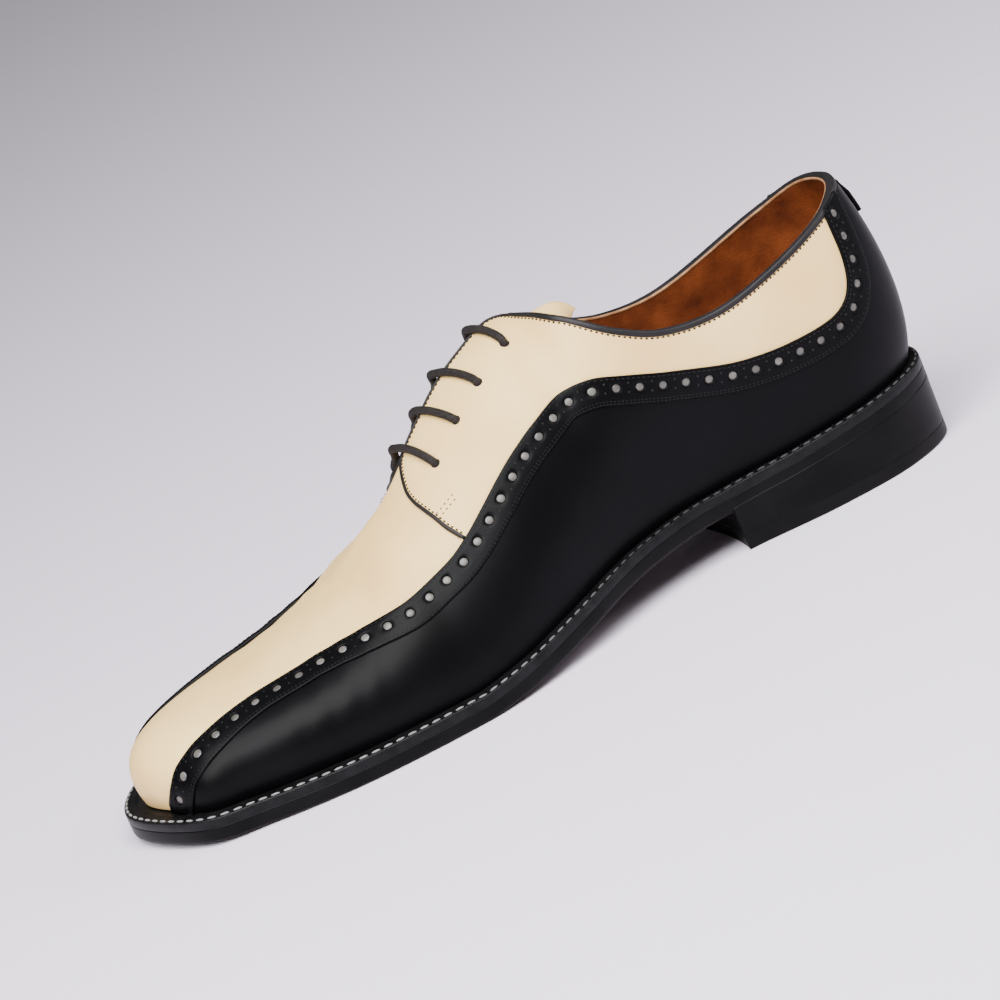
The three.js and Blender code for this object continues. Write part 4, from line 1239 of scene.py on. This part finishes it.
def lace_side(index, side):
    """Lace places over one facing, from inside the hole to the crest of the instep."""
    rib, climb, lean = eyelets[index]
    share, lift, inner_share, inner_lift = lace_steps.T
    forward = lean * (share if side > 0 else inner_share)
    ribs = forward_rib(rib, forward)
    ring, climbs = beside(ribs, side), climb + (1 - climb) * share
    resting = facing_lift(ring, climbs) + lace_diameter / 2
    return on_last(ring, climbs, resting + (lift if side > 0 else inner_lift))


def lace_bar_points(index, start_side):
    """One bar, over both facings and the throat, higher by the outer facing's spring."""
    first, last = lace_side(index, start_side), lace_side(index, -start_side)
    middle = first[-1] if start_side > 0 else last[-1]
    return np.vstack([first[:-1], middle, last[:-1][::-1]])


def inside_run(index, to, side):
    """Lace inside the upper between two holes of one facing."""
    start, end = (on_last(beside(hole_rib(k, side), side), np.array(eyelets[k][1]), lace_inside)
                  for k in (index, to))
    w = np.array([0.25, 0.5, 0.75])[:, None]
    return start * (1 - w) + end * w


lace_points = np.vstack([
    inside_run(1, 0, 1)[1:2], inside_run(0, 1, 1)[1:], lace_bar_points(1, 1), inside_run(1, 3, -1),
    lace_bar_points(3, -1), inside_run(3, 2, 1), lace_bar_points(2, 1), inside_run(2, 0, -1),
    lace_bar_points(0, -1),
])


def smooth_line(points, spacing):
    """A rounded line through points, evenly stepped."""
    run = run_along(points)
    keep = np.concatenate([[True], np.diff(run) > 0.05])
    run, points = run[keep], points[keep]
    fine = np.linspace(0, run[-1], 6000)
    line = np.stack([read_table(np.stack([run, points[:, k]], 1), fine) for k in range(3)], 1)
    run = run_along(line)
    place = np.linspace(0, run[-1], int(run[-1] / spacing) + 1)
    return np.stack([np.interp(place, run, line[:, k]) for k in range(3)], 1)


def round_cord(line, diameter, around):
    """A round cord along a line, its section carried along without twist, closed at the ends."""
    along = np.gradient(line, axis=0)
    along /= np.linalg.norm(along, axis=1, keepdims=True)
    side = np.cross(along[0], [0, 0, 1.0])
    sides = []
    for direction in along:
        side = side - direction * side.dot(direction)
        side /= np.linalg.norm(side)
        sides.append(side)
    sides = np.array(sides)
    ups = np.cross(along, sides)
    ends = np.ones(len(line))
    ends[0] = ends[-1] = 0.02

    def shape(i, j):
        turn = j / around * 2 * np.pi
        radius = (diameter / 2 * ends[i])[:, None]
        return (line[i] + (sides[i] * np.cos(turn)[:, None] + ups[i] * np.sin(turn)[:, None]) * radius,
                i * 0.5, j / around)

    bm = sheet(len(line) - 1, around, shape, wrap=True)
    bmesh.ops.holes_fill(bm, edges=[e for e in bm.edges if e.is_boundary], sides=0)
    face_out(bm)
    return bm


lace_line = smooth_line(lace_points, lace_step)
bm = round_cord(lace_line, lace_diameter, lace_sides)
lace_cotton = new_material("lace_cotton", (0.012, 0.0095, 0.0088), 0.7, specular=0.2)
nodes, links = lace_cotton.node_tree.nodes, lace_cotton.node_tree.links
run_uv = nodes.new("ShaderNodeUVMap")
run_uv.uv_map = "run"
parts = nodes.new("ShaderNodeSeparateXYZ")
links.new(run_uv.outputs["UV"], parts.inputs["Vector"])
plaits = []
for way in (1, -1):
    spin = nodes.new("ShaderNodeMath")
    spin.operation = "MULTIPLY"
    spin.inputs[1].default_value = way * 6 * 2 * math.pi
    slide = nodes.new("ShaderNodeMath")
    slide.operation = "MULTIPLY_ADD"
    slide.inputs[1].default_value = 5.2
    wave = nodes.new("ShaderNodeMath")
    wave.operation = "SINE"
    links.new(parts.outputs["Y"], spin.inputs[0])
    links.new(parts.outputs["X"], slide.inputs[0])
    links.new(spin.outputs[0], slide.inputs[2])
    links.new(slide.outputs[0], wave.inputs[0])
    plaits.append(wave)
weave = nodes.new("ShaderNodeMath")
weave.operation = "MULTIPLY"
links.new(plaits[0].outputs[0], weave.inputs[0])
links.new(plaits[1].outputs[0], weave.inputs[1])
bump = nodes.new("ShaderNodeBump")
bump.inputs["Strength"].default_value = 0.5
bump.inputs["Distance"].default_value = 0.0003
links.new(weave.outputs[0], bump.inputs["Height"])
links.new(bump.outputs["Normal"], nodes["Principled BSDF"].inputs["Normal"])
mottle(lace_cotton, (0.008, 0.0062, 0.006), (0.018, 0.0145, 0.0135), 500)
lace = finish_mesh(bm, "lace", lace_cotton)
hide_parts("lace_bar_1", "lace_bar_2", "lace_bar_3", "lace_bar_4")

# Lace holes: punched through the facings with no metal. Each is a low dark disc on the pale calf beside its
# lace, painted shade that stands for the hole's shaded inside.
lace_hole_radius = 1.7
lace_hole_height = 0.15
bm = bmesh.new()
for index, (_, climb, _) in enumerate(eyelets):
    for side in (1, -1):
        ring = beside(hole_rib(index, side), side)
        lift = facing_lift(ring, np.array(climb)) + stitch_lift
        point = on_last(ring, np.array(climb), lift)
        add_dome(bm, point, last_normal(ring, climb), lace_hole_radius, lace_hole_height)
lace_holes = finish_mesh(bm, "lace_holes", hole_shade_dark)

# Heel tab: a folded strip of black calf over the back seam, sewn in under the collar's binding
# and standing proud at its lower end.
tab_half = 0.26
tab_top = 90.5
tab_bottom = 78.0
tab_columns = 16
tab_rows = 24
tab_thickness = 1.6
tab_proud = 2.3
tab_spring = 1.0


def tab_shape(i, j):
    ring = (i / tab_columns * 2 - 1) * tab_half
    down = j / tab_rows
    height = tab_top + (tab_bottom - tab_top) * down
    climb = first_climb(ring, lambda p, _: p[..., 2] - height[:, None])
    proud = tab_proud + tab_spring * np.clip(down * 3 - 0.3, 0, 1)
    side = np.abs(ring) / tab_half
    return on_last(ring, climb, proud - 0.35 * side ** 6), i * 0.6, j * 0.5


bm = sheet(tab_columns, tab_rows, tab_shape)
outwards(bm)
heel_tab = finish_mesh(bm, "heel_tab_calf", black_calf)
thicken(heel_tab, tab_thickness, 0.3)
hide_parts("heel_tab")

# Floor, light and camera: a plain pale floor under soft studio light. The camera keeps the photo's
# angle to the shoe, roll included, and closes in on it.
photo_camera = Vector((0.3865, 1.403, 0.456))
photo_forward = Vector((-0.313, -0.892, -0.325))
photo_up = Vector((-0.457, -0.159, 0.875))
aim_at = Vector((0.0, 0.0, 0.047))
lens_mm = 168.0
floor_half = 6.0

bm = bmesh.new()
bmesh.ops.create_grid(bm, x_segments=2, y_segments=2, size=floor_half)
floor_mesh = bpy.data.meshes.new("floor")
bm.to_mesh(floor_mesh)
bm.free()
floor = bpy.data.objects.new("floor", floor_mesh)
bpy.context.scene.collection.objects.link(floor)
floor_paint = new_material("floor_paint", (0.745, 0.68, 0.785), 0.85, specular=0.1)
floor_mesh.materials.append(floor_paint)

world = bpy.data.worlds.new("studio")
world.use_nodes = True
world.node_tree.nodes["Background"].inputs["Color"].default_value = (0.82, 0.82, 0.84, 1)
world.node_tree.nodes["Background"].inputs["Strength"].default_value = 0.3
bpy.context.scene.world = world


def soft_light(name, place, target, size, power):
    lamp = bpy.data.lights.new(name, "AREA")
    lamp.shape = "RECTANGLE"
    lamp.size, lamp.size_y = size
    lamp.energy = power
    light = bpy.data.objects.new(name, lamp)
    light.location = place
    light.rotation_euler = (Vector(target) - Vector(place)).to_track_quat("-Z", "Y").to_euler()
    bpy.context.scene.collection.objects.link(light)


soft_light("overhead", (0.2, 0.75, 1.2), (0.08, 0.15, 0), (1.3, 1.0), 60)
soft_light("front", (1.0, 0.8, 0.8), (0.1, 0, 0.03), (0.7, 0.6), 19)
soft_light("back", (-1.1, 0.25, 0.7), (-0.1, 0, 0.05), (0.7, 0.5), 9)

camera_data = bpy.data.cameras.new("camera")
camera_data.sensor_width = 36.0
camera_data.lens = lens_mm
camera = bpy.data.objects.new("camera", camera_data)
forward = (aim_at - photo_camera).normalized()
swing = photo_forward.normalized().rotation_difference(forward)
up = (swing @ photo_up).normalized()
right = forward.cross(up).normalized()
up = right.cross(forward)
camera.matrix_world = Matrix.Translation(photo_camera) @ Matrix((right, up, -forward)).transposed().to_4x4()
bpy.context.scene.collection.objects.link(camera)
bpy.context.scene.camera = camera
